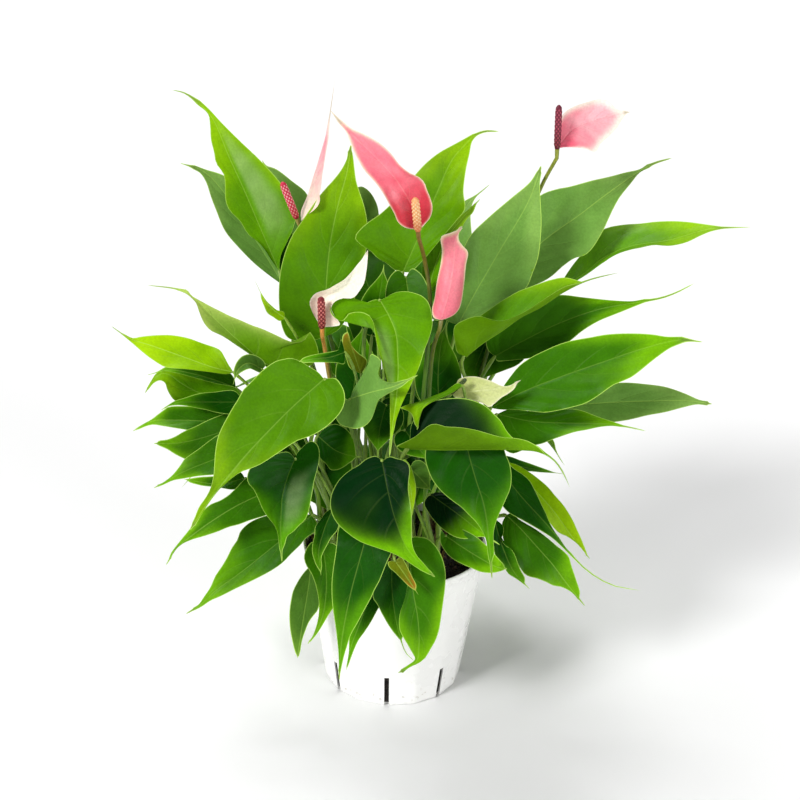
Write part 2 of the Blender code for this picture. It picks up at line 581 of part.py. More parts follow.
def keep_largest(work):
    """Drops loose scraps, and the skins of hollows that the joining sealed."""
    groups, left = [], set(work.verts)
    while left:
        group, edge = set(), [left.pop()]
        while edge:
            vert = edge.pop()
            group.add(vert)
            near = {e.other_vert(vert) for e in vert.link_edges} & left
            left -= near
            edge += near
        groups.append(group)
    for group in sorted(groups, key=len)[:-1]:
        bmesh.ops.delete(work, geom=list(group), context="VERTS")


def turned(profile, segments, flat_depth=None):
    """Closed body turned from a closed profile of (radius, height). With flat_depth, the radius
    sinks between 16 corners, most at the base and not at all at the rim."""
    angle = np.arange(segments) * 2 * np.pi / segments + SLOT_PHASE + np.pi / FLATS
    step = 2 * np.pi / FLATS
    inside = (angle - SLOT_PHASE) % step - step / 2
    rings = []
    for radius, height in profile:
        pull = np.ones(segments)
        if flat_depth is not None:
            share = np.clip(1 - height / POT_HEIGHT, 0, 1)**0.7
            pull = 1 + share * (np.cos(step / 2) / np.cos(inside) - 1)
        r = radius * pull
        rings.append(np.stack([r * np.cos(angle), r * np.sin(angle), np.full(segments, height)], -1))
    points, faces = np.vstack(rings), []
    for i in range(len(profile) - 1):
        for j in range(segments):
            k = (j + 1) % segments
            faces.append((i*segments + j, i*segments + k, (i + 1)*segments + k, (i + 1)*segments + j))
    faces.append(tuple(range(segments))[::-1])
    faces.append(tuple(range((len(profile) - 1)*segments, len(profile)*segments)))
    return points, faces


def box(centre, size, turn):
    """Box turned about the vertical."""
    corners = np.array([(x, y, z) for x in (-1, 1) for y in (-1, 1) for z in (-1, 1)]) * np.array(size) / 2
    c, s = np.cos(turn), np.sin(turn)
    points = corners @ np.array([[c, s, 0], [-s, c, 0], [0, 0, 1]]) + np.array(centre)
    return points, [(0, 1, 3, 2), (4, 6, 7, 5), (0, 4, 5, 1), (2, 3, 7, 6), (0, 2, 6, 4), (1, 5, 7, 3)]


def wall_radius(height):
    return BASE_RADIUS + (RIM_RADIUS - BASE_RADIUS) * height / POT_HEIGHT


def make_pot():
    """Tapered shell with a flat floor; eight slots are cut up from its lower edge."""
    profile = [(BASE_RADIUS - 1.5, 0), (BASE_RADIUS, 0.8), (wall_radius(SLOT_HEIGHT), SLOT_HEIGHT),
               (RIM_RADIUS, POT_HEIGHT), (RIM_RADIUS - WALL, POT_HEIGHT),
               (wall_radius(SLOT_HEIGHT) - WALL, SLOT_HEIGHT), (wall_radius(FLOOR) - WALL, FLOOR)]
    pot = add_object("pot", *turned(profile, POT_SEGMENTS, flat_depth=1), POT_WHITE, False)
    cutters = []
    for i in range(SLOTS):
        a = SLOT_PHASE + i * 2 * np.pi / SLOTS
        reach = 12.0
        middle = np.array([np.cos(a), np.sin(a)]) * (BASE_RADIUS - 3.0 + reach / 2)
        points, faces = box((*middle, SLOT_HEIGHT / 2 - 5), (reach, SLOT_WIDTH, SLOT_HEIGHT + 10), a)
        cutters.append(add_object("slot_%d" % i, points, faces, POT_WHITE))
    boolean(pot, cutters, "DIFFERENCE", "EXACT")


def make_soil():
    """Soil that fills the pot, a gap clear of its wall, with a plain hole for each crown and
    flower stem."""
    low = FLOOR + GAP
    inner = [(wall_radius(h) - WALL) * np.cos(np.pi / FLATS) - GAP for h in (low, SLOT_HEIGHT)]
    top = (wall_radius(SOIL_TOP - 2) - WALL) * 0.995 - GAP
    profile = [(inner[0], low), (inner[1], SLOT_HEIGHT), (top, SOIL_TOP - 2),
               (top * 0.8, SOIL_TOP - 0.5), (top * 0.4, SOIL_TOP + SOIL_DOME)]
    soil = add_object("soil", *turned(profile, 32), SOIL_BROWN, False)
    cutters = []
    for name, (crown, _) in SHOOTS.items():
        cutters.append(hole(name, crown, CROWN_RADIUS + GAP, CROWN_SIDES))
    for name, spec in FLOWERS.items():
        cutters.append(hole(name, spec["foot"], 1.9 + GAP, STEM_SIDES))
    boolean(soil, cutters, "DIFFERENCE", "EXACT")


def hole(name, place, radius, sides):
    line = np.array([[*place, SOIL_TOP - HOLE_DEPTH - GAP], [*place, SOIL_TOP + 12.0]])
    return add_object("hole_" + name, *tube(line, [radius, radius], sides), SOIL_BROWN)


def make_shoot(name, crown, leaves):
    """Crown with its leaf stalks and blades, joined into one solid."""
    low, high = SOIL_TOP - HOLE_DEPTH, SOIL_TOP + 9.0
    line = np.array([[*crown, h] for h in (low, SOIL_TOP + 3.0, high)])
    shoot = add_object(name, *tube(line, [CROWN_RADIUS, CROWN_RADIUS, 2.4], CROWN_SIDES), LEAF_GREEN)
    pieces = []
    for i, spec in enumerate(leaves):
        big = spec["width"] >= 30
        grid = blade_surface(spec, *((6, 4) if big else (5, 2)))
        stalk = stalk_line(spec, crown, 6)
        radii = np.linspace(*((1.8, 1.25) if big else (1.4, 1.0)), len(stalk))
        tangent, side, _ = midrib_frames(spec)
        arrive = unit(stalk[-1] - stalk[-2])
        if arrive @ tangent[2] > STRAIGHT_ON:
            solids = [blade_solid(grid, stalk_rings(stalk, radii, side[2]))]
        else:
            stalk[-1] += 0.8 * arrive
            solids = [blade_solid(grid), tube(stalk, radii, 4)]
        for solid in solids:
            pieces.append(add_object("%s_leaf_%d" % (name, len(pieces)), *solid, LEAF_GREEN))
    boolean(shoot, pieces, "UNION", "MANIFOLD")


def make_flower(name, spec):
    """Stem, spathe and spadix. The spadix goes on from the stem's top; the spathe's base stands
    just behind it."""
    tangent, _, normal = midrib_frames(spec["spathe"])
    base = spec["spathe"]["line"][0]
    top = base + normal[4] * spec["offset"] + tangent[4] * 0.6
    tip = spec["spadix_tip"]
    axis = unit(tip - top)
    spathe_colour, spadix_colour = FLOWER_MATERIALS[name]
    add_object(name + "_spathe", *blade_solid(blade_surface(spec["spathe"], 8, 4)), spathe_colour)

    foot = np.array([*spec["foot"], SOIL_TOP - HOLE_DEPTH])
    rise = [foot, foot + [0, 0, 27.0], foot + [0, 0, 50.0]]
    bend = curve(rise + spec["way"][::-1] + [top - 6 * axis], 10)
    stem = np.vstack([bend, top - 2 * axis, top])
    radii = np.append(np.linspace(1.9, 1.3, len(stem) - 1), 1.6)
    add_object(name + "_stem", *tube(stem, radii, STEM_SIDES), STEM_GREEN)

    spike = curve([top + 0.7 * axis, (top + tip) / 2 + 0.2 * axis, tip], 7)
    swell = np.interp(np.linspace(0, 1, 7), [0, 0.12, 0.3, 0.75, 0.92, 1], [0.66, 0.92, 1, 0.92, 0.7, 0.3])
    add_object(name + "_spadix", *tube(spike, spec["spadix_radius"] * swell, 6), spadix_colour)


make_pot()
make_soil()
for shoot_name, (crown_place, shoot_leaves) in SHOOTS.items():
    make_shoot(shoot_name, crown_place, shoot_leaves)
for flower_name, flower in FLOWERS.items():
    make_flower(flower_name, flower)
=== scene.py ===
"""Potted pink lilli anthurium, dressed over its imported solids.

It is put together as the plant is: a slotted white nursery pot, the soil in it, 21 shoots of
heart-shaped leaves, and six flowers, each a stem, a spathe and a spadix. Lengths are millimetres
until a mesh is made. World axes: +X right, +Y away from the camera, +Z up, origin under the
middle of the pot.
"""

import bmesh
import bpy
import numpy as np
from mathutils import Matrix


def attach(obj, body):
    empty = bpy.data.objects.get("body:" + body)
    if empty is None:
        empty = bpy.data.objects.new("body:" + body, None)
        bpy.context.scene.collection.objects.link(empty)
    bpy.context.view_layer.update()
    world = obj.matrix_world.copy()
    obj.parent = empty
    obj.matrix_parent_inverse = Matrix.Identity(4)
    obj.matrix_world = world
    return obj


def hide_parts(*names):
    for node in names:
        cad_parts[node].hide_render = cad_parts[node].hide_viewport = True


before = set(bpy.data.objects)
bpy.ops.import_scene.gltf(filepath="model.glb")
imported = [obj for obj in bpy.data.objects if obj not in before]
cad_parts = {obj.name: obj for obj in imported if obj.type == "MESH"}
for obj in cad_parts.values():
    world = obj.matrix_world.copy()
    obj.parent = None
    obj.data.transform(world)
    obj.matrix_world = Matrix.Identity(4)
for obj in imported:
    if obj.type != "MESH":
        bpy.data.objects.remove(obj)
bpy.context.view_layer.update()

# Nursery pot: a thin five inch shell pressed from glossy white polypropylene. It is round at the
# rim and passes into sixteen flats at the foot, where eight drain slots rise from its edge.
POT_HEIGHT = 103.0
RIM_RADIUS = 63.5
BASE_RADIUS = 49.0
WALL = 1.3
FLOOR = 1.6
FLATS = 16
SLOTS = 8
SLOT_WIDTH = 3.3
SLOT_HEIGHT = 25.0
SLOT_DEPTH_RADIUS = 46.0
SLOT_PHASE = np.radians(-93.6)
COLUMNS_PER_EIGHTH = 24
FLAT_FADE = 0.7
MM = 0.001


def paint(red, green, blue):
    """A colour given in screen bytes, as linear light."""
    c = np.array([red, green, blue]) / 255
    return np.where(c < 0.04045, c / 12.92, ((c + 0.055) / 1.055)**2.4)


def skin(points, finish=0, keep=None, **looks):
    """A closed band of points (rows, columns, 3): each row is a ring, joined to the next row.
    finish is the material of each face, keep says which faces exist, and looks are attributes."""
    return dict(points=np.asarray(points, float), finish=finish, keep=keep, looks=looks)


def skin_faces(part):
    """Corner numbers of a band's quads and their materials: each quad joins two columns of one
    row to the same two of the next, and the last column joins the first."""
    rows, columns = part["points"].shape[:2]
    index = np.arange(rows * columns).reshape(rows, columns)
    beside = np.roll(index, -1, axis=1)
    quads = np.stack([index[:-1], beside[:-1], beside[1:], index[1:]], -1)
    finish = np.broadcast_to(part["finish"], quads.shape[:2])
    if part["keep"] is not None:
        return quads[part["keep"]], finish[part["keep"]]
    points = part["points"].reshape(-1, 3)
    a, b, c, d = (points[quads[..., k]] for k in range(4))
    volume = np.sum(np.cross(a, b) * c) + np.sum(np.cross(a, c) * d)
    return (quads if volume > 0 else quads[..., ::-1]).reshape(-1, 4), finish.reshape(-1)


WIDE_LOOKS = {"tone", "place", "pale"}


def look_values(part, look):
    """An attribute of a band's points, one number each, or three for a wide look."""
    wide = (3,) if look in WIDE_LOOKS else ()
    shape = part["points"].shape[:2] + wide
    return np.broadcast_to(part["looks"].get(look, 0.0), shape).reshape(-1, *wide)


def add_piece(name, skins, materials, node, sharp=50, shell=False):
    """One mesh object from bands, in metres at the origin. Points that meet at poles and seams
    are merged. A band on its own faces out by the sign of its volume; bands that are sewn into
    one shell have their normals worked out together. It replaces a node and rides on the body."""
    faces = [skin_faces(part) for part in skins]
    sizes = [part["points"].shape[0] * part["points"].shape[1] for part in skins]
    starts = np.concatenate([[0], np.cumsum(sizes)[:-1]])
    points = np.concatenate([part["points"].reshape(-1, 3) for part in skins]) * MM
    quads = np.concatenate([quad + start for (quad, _), start in zip(faces, starts)])
    mesh = bpy.data.meshes.new(name)
    mesh.vertices.add(len(points))
    mesh.vertices.foreach_set("co", points.astype(np.float32).ravel())
    mesh.loops.add(quads.size)
    mesh.loops.foreach_set("vertex_index", quads.astype(np.int32).ravel())
    mesh.polygons.add(len(quads))
    mesh.polygons.foreach_set("loop_start", np.arange(0, quads.size, 4, dtype=np.int32))
    finish = np.concatenate([kind for _, kind in faces])
    mesh.polygons.foreach_set("material_index", finish.astype(np.int32))
    mesh.update(calc_edges=True)
    for look in sorted({key for part in skins for key in part["looks"]}):
        kind, field = ("FLOAT_VECTOR", "vector") if look in WIDE_LOOKS else ("FLOAT", "value")
        values = np.concatenate([look_values(part, look) for part in skins]).astype(np.float32)
        mesh.attributes.new(look, kind, "POINT").data.foreach_set(field, values.ravel())
    work = bmesh.new()
    work.from_mesh(mesh)
    bmesh.ops.remove_doubles(work, verts=work.verts, dist=1e-6)
    if shell:
        bmesh.ops.recalc_face_normals(work, faces=work.faces)
    work.to_mesh(mesh)
    work.free()
    mesh.shade_smooth()
    mesh.set_sharp_from_angle(angle=np.radians(sharp))
    for material in materials:
        mesh.materials.append(material)
    piece = bpy.data.objects.new(name, mesh)
    bpy.context.scene.collection.objects.link(piece)
    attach(piece, "root")
    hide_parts(node)


def add_node(tree, kind, *inputs, **settings):
    """A shader node. Its inputs are values or other nodes' outputs, in the sockets' order, and
    None leaves a socket as it is."""
    made = tree.nodes.new("ShaderNode" + kind)
    for key, value in settings.items():
        setattr(made, key, value)
    for socket, value in zip(made.inputs, inputs):
        if isinstance(value, bpy.types.NodeSocket):
            tree.links.new(value, socket)
        elif value is not None:
            socket.default_value = value
    return made


def maths(tree, operation, a, b=None):
    """The result of one Math node."""
    return add_node(tree, "Math", a, b, operation=operation).outputs[0]


def span(tree, value, low, high, start=0.0, end=1.0):
    """A smooth step from start to end as the value goes from low to high."""
    return add_node(tree, "MapRange", value, low, high, start, end,
                    interpolation_type="SMOOTHSTEP").outputs[0]


def blend(tree, share, a, b, mode="MIX"):
    """Two colours mixed by a share."""
    made = add_node(tree, "Mix", share, data_type="RGBA", blend_type=mode)
    for socket, value in ((made.inputs[6], a), (made.inputs[7], b)):
        if isinstance(value, bpy.types.NodeSocket):
            tree.links.new(value, socket)
        else:
            socket.default_value = (*value, 1)
    return made.outputs[2]


def noise(tree, scale, detail=2.0, where=None):
    """Noise from 0 to 1 on Object coordinates, or on other coordinates that are given."""
    if where is None:
        where = add_node(tree, "TexCoord").outputs["Object"]
    return add_node(tree, "TexNoise", where, None, scale, detail).outputs[0]


def look(tree, name):
    """An attribute of the mesh: its vector for a wide look, or its number."""
    made = add_node(tree, "Attribute", attribute_name=name)
    return made.outputs["Vector" if name in WIDE_LOOKS else "Fac"]


def new_finish(name, **levels):
    """A material with its Principled shader, and the levels that are the same all over it."""
    material = bpy.data.materials.new(name)
    material.use_nodes = True
    shader = material.node_tree.nodes["Principled BSDF"]
    for key, value in levels.items():
        shader.inputs[key.replace("_", " ")].default_value = value
    return material, material.node_tree, shader


def raise_surface(tree, shader, height, distance):
    """Bump from a height from 0 to 1, over a distance in metres."""
    bump = add_node(tree, "Bump", None, distance)
    tree.links.new(height, bump.inputs["Height"])
    tree.links.new(bump.outputs[0], shader.inputs["Normal"])


def pot_plastic():
    """White plastic: faint flow marks and scuffs in its gloss, with soil dust near the slots, the
    foot and the rim."""
    material, tree, shader = new_finish("pot_plastic", IOR=1.49)
    where = add_node(tree, "TexCoord").outputs["Object"]
    height = add_node(tree, "SeparateXYZ", where).outputs[2]
    grime = span(tree, noise(tree, 260, 4), 0.56, 0.74)
    low = span(tree, height, 0.030, 0.0, 0.0, 0.7)
    high = span(tree, height, 0.094, 0.103, 0.0, 0.55)
    dust = maths(tree, "MULTIPLY", grime, maths(tree, "ADD", low, high))
    speck = span(tree, noise(tree, 900, 2), 0.72, 0.78, 0.0, 0.2)
    tint = blend(tree, noise(tree, 35, 3), paint(246, 246, 243), paint(249, 249, 247))
    tint = blend(tree, dust, tint, paint(176, 168, 154))
    tree.links.new(blend(tree, speck, tint, paint(120, 104, 84)), shader.inputs["Base Color"])
    gloss = span(tree, noise(tree, 60, 4), 0.3, 0.7, 0.22, 0.36)
    dulled = maths(tree, "ADD", gloss, maths(tree, "MULTIPLY", dust, 0.4))
    tree.links.new(dulled, shader.inputs["Roughness"])
    raise_surface(tree, shader, noise(tree, 120, 3), 0.00012)
    return material


def pot_grid(profile):
    """The profile of (radius, height) carried round the axis. In each eighth, two columns stay a
    slot's width apart at every radius and the others share the rest of the angle evenly. Between
    sixteen corners the radius sinks to a straight side, less and less towards the rim."""
    radius, height = np.asarray(profile, float).T[:, :, None]
    half = np.arcsin(SLOT_WIDTH / 2 / np.maximum(radius, SLOT_DEPTH_RADIUS))
    eighth = 2 * np.pi / SLOTS
    share = np.linspace(0, 1, COLUMNS_PER_EIGHTH)[None, :-1]
    columns = np.concatenate([-half, half + (eighth - 2 * half) * share], axis=1)
    angle = SLOT_PHASE + np.concatenate([columns + k * eighth for k in range(SLOTS)], axis=1)
    step = 2 * np.pi / FLATS
    inside = (angle - SLOT_PHASE) % step - step / 2
    flat = np.clip(1 - height / POT_HEIGHT, 0, 1)**FLAT_FADE
    r = radius * (1 + flat * (np.cos(step / 2) / np.cos(inside) - 1))
    return np.stack([r * np.cos(angle), r * np.sin(angle), height + 0 * angle], -1)


def wall_radius(height):
    """Outside radius of the wall, which grows evenly from the foot to the rim."""
    return BASE_RADIUS + (RIM_RADIUS - BASE_RADIUS) * height / POT_HEIGHT


def wall_run(heights, inset):
    """Points of a straight run of the wall, set in from its outside."""
    return [(wall_radius(h) - inset, h) for h in heights]


slot_rows = [5, 10, 15, 20, SLOT_HEIGHT]
under = [(0.5, 0.4), (20, 0.4), (40, 0.4), (44, 0.1)]
slot_outside = [(SLOT_DEPTH_RADIUS, 0.0), (BASE_RADIUS - 1.5, 0.0), (BASE_RADIUS - 0.5, 0.25)]
slot_outside += wall_run([0.9] + slot_rows, 0)
above = wall_run([26.5, 35, 50, 65, 80, 92, 98.6], 0)
lip = [(wall_radius(99) + 0.35, 99.2), (wall_radius(100) + 0.5, 100.0), (RIM_RADIUS + 0.25, 102.2),
       (RIM_RADIUS - 0.1, 102.8), (RIM_RADIUS - 0.6, POT_HEIGHT), (RIM_RADIUS - 1.2, 102.7),
       (RIM_RADIUS - WALL - 0.1, 102.0)]
slot_inside = wall_run([3.4] + slot_rows, WALL)
slot_inside = [(SLOT_DEPTH_RADIUS, FLOOR), (46.8, FLOOR + 0.1), (47.4, FLOOR + 0.6)] + slot_inside
inner = wall_run([98, 92, 80, 65, 50, 35, 26.5], WALL)
pot_profile = under + slot_outside + above + lip + inner + slot_inside[::-1]
pot_profile += [(44, FLOOR), (20, FLOOR), (0.5, FLOOR)]
pot_rings = pot_grid(pot_profile)

reach = len(slot_outside)
first, last = len(under), len(pot_profile) - 3 - reach
keep = np.ones((len(pot_profile) - 1, SLOTS * COLUMNS_PER_EIGHTH), bool)
slot_columns = np.arange(SLOTS) * COLUMNS_PER_EIGHTH
for start in (first, last):
    keep[start:start + reach - 1, slot_columns] = False
pot_skins = [skin(pot_rings, keep=keep)]
for column in slot_columns:
    # The slot's cut edge: a closed loop on the outside joined to the same loop on the inside.
    loops = []
    for rows in (np.arange(first, first + reach), np.arange(last, last + reach)[::-1]):
        loops.append(np.concatenate([pot_rings[rows, column], pot_rings[rows[::-1], column + 1]]))
    pot_skins.append(skin(loops, keep=np.ones((1, 2 * reach), bool)))
for row in (0, -1):
    # The middle of the floor, closed with a point below and above.
    disc = [pot_rings[row], np.broadcast_to([0, 0, pot_profile[row][1]], pot_rings[row].shape)]
    pot_skins.append(skin(disc, keep=np.ones((1, pot_rings.shape[1]), bool)))
add_piece("pot_shell", pot_skins, [pot_plastic()], "pot", sharp=40, shell=True)

# Potting soil: dark peat with bark crumbs, a few of them pale. It fills the pot up to a few
# millimetres below the rim and shows as black behind the slots.
SOIL_TOP = 99.0
SOIL_DOME = 1.5
GAP = 0.3
SOIL_COLUMNS = 180
SOIL_RINGS = 56
CRUMBS = 760
CRUMB_SPREAD = 61.0


def swell(points, size, strength, seed, waves=14):
    """A smooth random height over points, 0 on average: the sum of cosine waves that run in
    random directions, each about `size` long."""
    rng = np.random.default_rng(seed)
    ways = rng.normal(size=(waves, points.shape[-1]))
    ways /= np.linalg.norm(ways, axis=1, keepdims=True) * size / (2 * np.pi)
    ways *= rng.uniform(0.7, 1.4, (waves, 1))
    phase = rng.uniform(0, 2 * np.pi, waves)
    return strength * np.cos(points @ ways.T + phase).sum(-1) / np.sqrt(waves / 2)


def soil_surface(x, y):
    """Height of the soil: a low dome with lumps of three sizes, lower at the wall."""
    flat = np.stack([x, y], -1)
    radius = np.hypot(x, y)
    dome = SOIL_TOP + SOIL_DOME * (1 - (radius / 60)**2) - 0.8
    return dome + swell(flat, 22, 0.7, 3) + swell(flat, 7, 0.45, 4) + swell(flat, 3, 0.3, 5)


def soil_body():
    """The soil as one band: rings from the middle of its top out to the wall, down the wall and
    back in under it."""
    angle = np.arange(SOIL_COLUMNS) * 2 * np.pi / SOIL_COLUMNS
    edge = wall_radius(SOIL_TOP - 2) - WALL - GAP
    radius = edge * np.linspace(0.0, 1, SOIL_RINGS)[:, None]
    x, y = radius * np.cos(angle), radius * np.sin(angle)
    rings = [np.stack([x, y, soil_surface(x, y)], -1)]
    for height in (92, 70, 48, SLOT_HEIGHT + 2, 12, FLOOR + GAP):
        r = (wall_radius(height) - WALL - GAP) * (0.985 if height < 50 else 1.0)
        rings.append(np.stack([r * np.cos(angle), r * np.sin(angle), height + 0 * angle], -1)[None])
    low = rings[-1] * [[[0, 0, 1]]]
    return skin(np.concatenate(rings + [low]))


def crumb_bands(count, seed):
    """Soil crumbs: twelve-cornered lumps, each its own size, stretch and turn, half sunk."""
    rng = np.random.default_rng(seed)
    turn = np.arange(5) * 2 * np.pi / 5
    level = np.array([-1, -0.447, 0.447, 1.0])[:, None]
    ring = np.sqrt(1 - level**2)
    lump = np.stack([ring * np.cos(turn + [[0], [0], [0.628], [0]]),
                     ring * np.sin(turn + [[0], [0], [0.628], [0]]), level + 0 * turn], -1)
    bands = []
    for _ in range(count):
        r, a = CRUMB_SPREAD * np.sqrt(rng.uniform(0.0, 1)), rng.uniform(0, 2 * np.pi)
        x, y = r * np.cos(a), r * np.sin(a)
        size = rng.uniform(0.7, 2.3) * np.array([1, rng.uniform(0.6, 1.2), rng.uniform(0.5, 0.9)])
        spin, _ = np.linalg.qr(rng.normal(size=(3, 3)))
        rough = 1 + 0.35 * rng.uniform(-1, 1, lump.shape[:2])
        rough[[0, -1]] = 1
        points = (lump * rough[..., None] * size) @ spin.T
        bands.append(skin(points + [x, y, soil_surface(x, y) + 0.25 * size[2]], finish=1,
                          grain=rng.uniform()))
    return bands


def soil_finish():
    """Peat: dark fibre with lighter grains, rough all over."""
    material, tree, shader = new_finish("soil", Roughness=0.95)
    grains = span(tree, noise(tree, 700, 5), 0.45, 0.75)
    tint = blend(tree, grains, paint(20, 15, 14), paint(54, 41, 34))
    tint = blend(tree, span(tree, noise(tree, 90, 3), 0.55, 0.75, 0, 0.5), tint, paint(30, 22, 16))
    tree.links.new(tint, shader.inputs["Base Color"])
    raise_surface(tree, shader, noise(tree, 500, 6), 0.0008)
    return material


def crumb_finish():
    """Bark and peat crumbs: each from near black to brown by its grain, a few pale."""
    material, tree, shader = new_finish("soil_crumb", Roughness=0.9)
    grain = look(tree, "grain")
    tint = blend(tree, span(tree, grain, 0.2, 0.85), paint(28, 21, 20), paint(74, 54, 42))
    tint = blend(tree, span(tree, grain, 0.93, 0.95), tint, paint(176, 160, 132))
    tint = blend(tree, span(tree, noise(tree, 600, 4), 0.4, 0.7, 0, 0.6), tint, paint(26, 20, 16))
    tree.links.new(tint, shader.inputs["Base Color"])
    raise_surface(tree, shader, noise(tree, 900, 4), 0.0006)
    return material


soil_skins = [soil_body()] + crumb_bands(CRUMBS, 11)
add_piece("potting_soil", soil_skins, [soil_finish(), crumb_finish()], "soil", sharp=40)

# Leafy shoots: each is a short crown in the soil with its own leaves, a stalk and a blade each.
# A blade is one thin sheet folded up along its midrib, with a pale margin and a long drip tip.
# Blades are placed by the pixels that their midribs cross in the photograph, and by how far
# behind the pot's axis each point lies, as the solids are.
FOCAL_PX = 1200.0
MIDDLE_PX = 400.0
PITCH = np.radians(21.4)
ROLL = np.radians(1.4)
FOOT_DISTANCE = 875.0
FOOT_PX = (391.9, 665.7)
HOLE_DEPTH = 14.0

# Blade outlines: share of the length along the midrib, half width as a share of the width.
OUTLINES = {
    "heart": [(0, 0), (-0.045, 0.16), (-0.035, 0.33), (0.07, 0.46), (0.24, 0.50),
              (0.42, 0.43), (0.60, 0.28), (0.76, 0.115), (0.86, 0.022), (1, 0)],
    "lance": [(0, 0), (-0.01, 0.10), (0.02, 0.21), (0.10, 0.35), (0.25, 0.47),
              (0.43, 0.49), (0.61, 0.36), (0.76, 0.17), (0.88, 0.04), (1, 0)],
    "delta": [(0, 0), (-0.045, 0.18), (-0.03, 0.37), (0.06, 0.49), (0.19, 0.49),
              (0.37, 0.37), (0.56, 0.24), (0.74, 0.10), (0.87, 0.022), (1, 0)],
    "spade": [(0, 0), (-0.05, 0.20), (-0.04, 0.40), (0.03, 0.50), (0.12, 0.45),
              (0.25, 0.33), (0.43, 0.21), (0.63, 0.10), (0.80, 0.022), (1, 0)],
    "spathe": [(0, 0), (-0.01, 0.16), (0.01, 0.31), (0.08, 0.44), (0.21, 0.50),
               (0.40, 0.43), (0.60, 0.29), (0.78, 0.13), (0.90, 0.04), (1, 0)],
}
# Where each outline point's vein leaves the midrib, as a share of the length.
VEIN_ROOTS = [0, 0.012, 0.035, 0.09, 0.22, 0.40, 0.58, 0.745, 0.86, 1]
# The share of the length at which an outline passes into its drip tip.
OUTLINE_TIP = 0.86

# Leaf tones: the heart of the blade, its margin and tip, and how far the second spreads.
TONES = {
    "bright": (paint(92, 150, 2), paint(142, 192, 6), 0.7),
    "lime": (paint(142, 192, 2), paint(168, 214, 6), 0.9),
    "olive": (paint(84, 140, 3), paint(128, 176, 8), 0.6),
    # pale: its tip's whitish green is partly a painted highlight, the bright surroundings reflected.
    "pale": (paint(98, 150, 4), paint(186, 212, 100), 0.95),
    "mid": (paint(56, 114, 2), paint(112, 174, 5), 0.55),
    # grey: a glossy leaf's green, greyed partly by painted reflection of the bright surroundings.
    "grey": (paint(113, 160, 68), paint(132, 174, 80), 0.4),
    "dull": (paint(78, 122, 36), paint(102, 146, 42), 0.4),
    "deep": (paint(22, 80, 1), paint(90, 156, 4), 0.68),
    "inky": (paint(1, 42, 7), paint(116, 184, 2), 0.74),
    "rusty": (paint(104, 118, 12), paint(152, 104, 28), 0.6),
}


def view_axes():
    """The camera's forward, right and up directions: pitched down, then rolled."""
    forward = np.array([0, np.cos(PITCH), -np.sin(PITCH)])
    right = np.array([1.0, 0, 0])
    up = np.cross(right, forward)
    return (forward, np.cos(ROLL) * right + np.sin(ROLL) * up,
            np.cos(ROLL) * up - np.sin(ROLL) * right)


FORWARD, RIGHT, UP = view_axes()


def sight_line(x, y):
    """Direction from the camera through pixel x, y."""
    return FORWARD + RIGHT * ((x - MIDDLE_PX) / FOCAL_PX) - UP * ((y - MIDDLE_PX) / FOCAL_PX)


EYE = -FOOT_DISTANCE * sight_line(*FOOT_PX)


def seen(x, y, back):
    """The point on the sight line through pixel x, y that lies `back` behind the pot's axis."""
    line = sight_line(x, y)
    return EYE + line * ((back - EYE[1]) / line[1])


def picture(points):
    """The pixels at which the camera sees points."""
    away = (points - EYE) / ((points - EYE) @ FORWARD)[:, None]
    return np.stack([MIDDLE_PX + FOCAL_PX * (away @ RIGHT), MIDDLE_PX - FOCAL_PX * (away @ UP)], -1)


def unit(v):
    """Vectors made one long."""
    return v / np.linalg.norm(v, axis=-1, keepdims=True)


def smooth(points, at):
    """Catmull-Rom through evenly spaced knots, read at shares from 0 to 1."""
    points = np.asarray(points, float)
    count = len(points) - 1
    ends = np.vstack([2 * points[0] - points[1], points, 2 * points[-1] - points[-2]])
    t = np.clip(np.asarray(at, float) * count, 0, count - 1e-9)
    i = t.astype(int)
    f = (t - i)[:, None]
    a, b, c, d = ends[i], ends[i + 1], ends[i + 2], ends[i + 3]
    return 0.5 * (2*b + (c - a)*f + (2*a - 5*b + 4*c - d)*f**2 + (3*b - 3*c + d - a)*f**3)


def curve(points, count):
    """Smooth line through the points (centripetal Catmull-Rom), at even arc lengths."""
    p = np.asarray(points, float)
    p = np.vstack([2 * p[0] - p[1], p, 2 * p[-1] - p[-2]])
    knots = np.concatenate([[0], np.cumsum(np.sqrt(np.linalg.norm(np.diff(p, axis=0), axis=1)))])
    pieces = []
    for i in range(1, len(p) - 2):
        t0, t1, t2, t3 = knots[i - 1:i + 3]
        t = np.linspace(t1, t2, 60)[:, None]
        a1 = (t1 - t) / (t1 - t0) * p[i - 1] + (t - t0) / (t1 - t0) * p[i]
        a2 = (t2 - t) / (t2 - t1) * p[i] + (t - t1) / (t2 - t1) * p[i + 1]
        a3 = (t3 - t) / (t3 - t2) * p[i + 1] + (t - t2) / (t3 - t2) * p[i + 2]
        b1 = (t2 - t) / (t2 - t0) * a1 + (t - t0) / (t2 - t0) * a2
        b2 = (t3 - t) / (t3 - t1) * a2 + (t - t1) / (t3 - t1) * a3
        piece = (t2 - t) / (t2 - t1) * b1 + (t - t1) / (t2 - t1) * b2
        pieces.append(piece if i == 1 else piece[1:])
    line = np.concatenate(pieces)
    run = np.concatenate([[0], np.cumsum(np.linalg.norm(np.diff(line, axis=0), axis=1))])
    even = np.linspace(0, run[-1], count)
    return np.stack([np.interp(even, run, line[:, k]) for k in range(3)], -1)


MIDRIB_POINTS = 200
PAST_MARGIN = 0.05
LONGEST_BLADE = 0.97


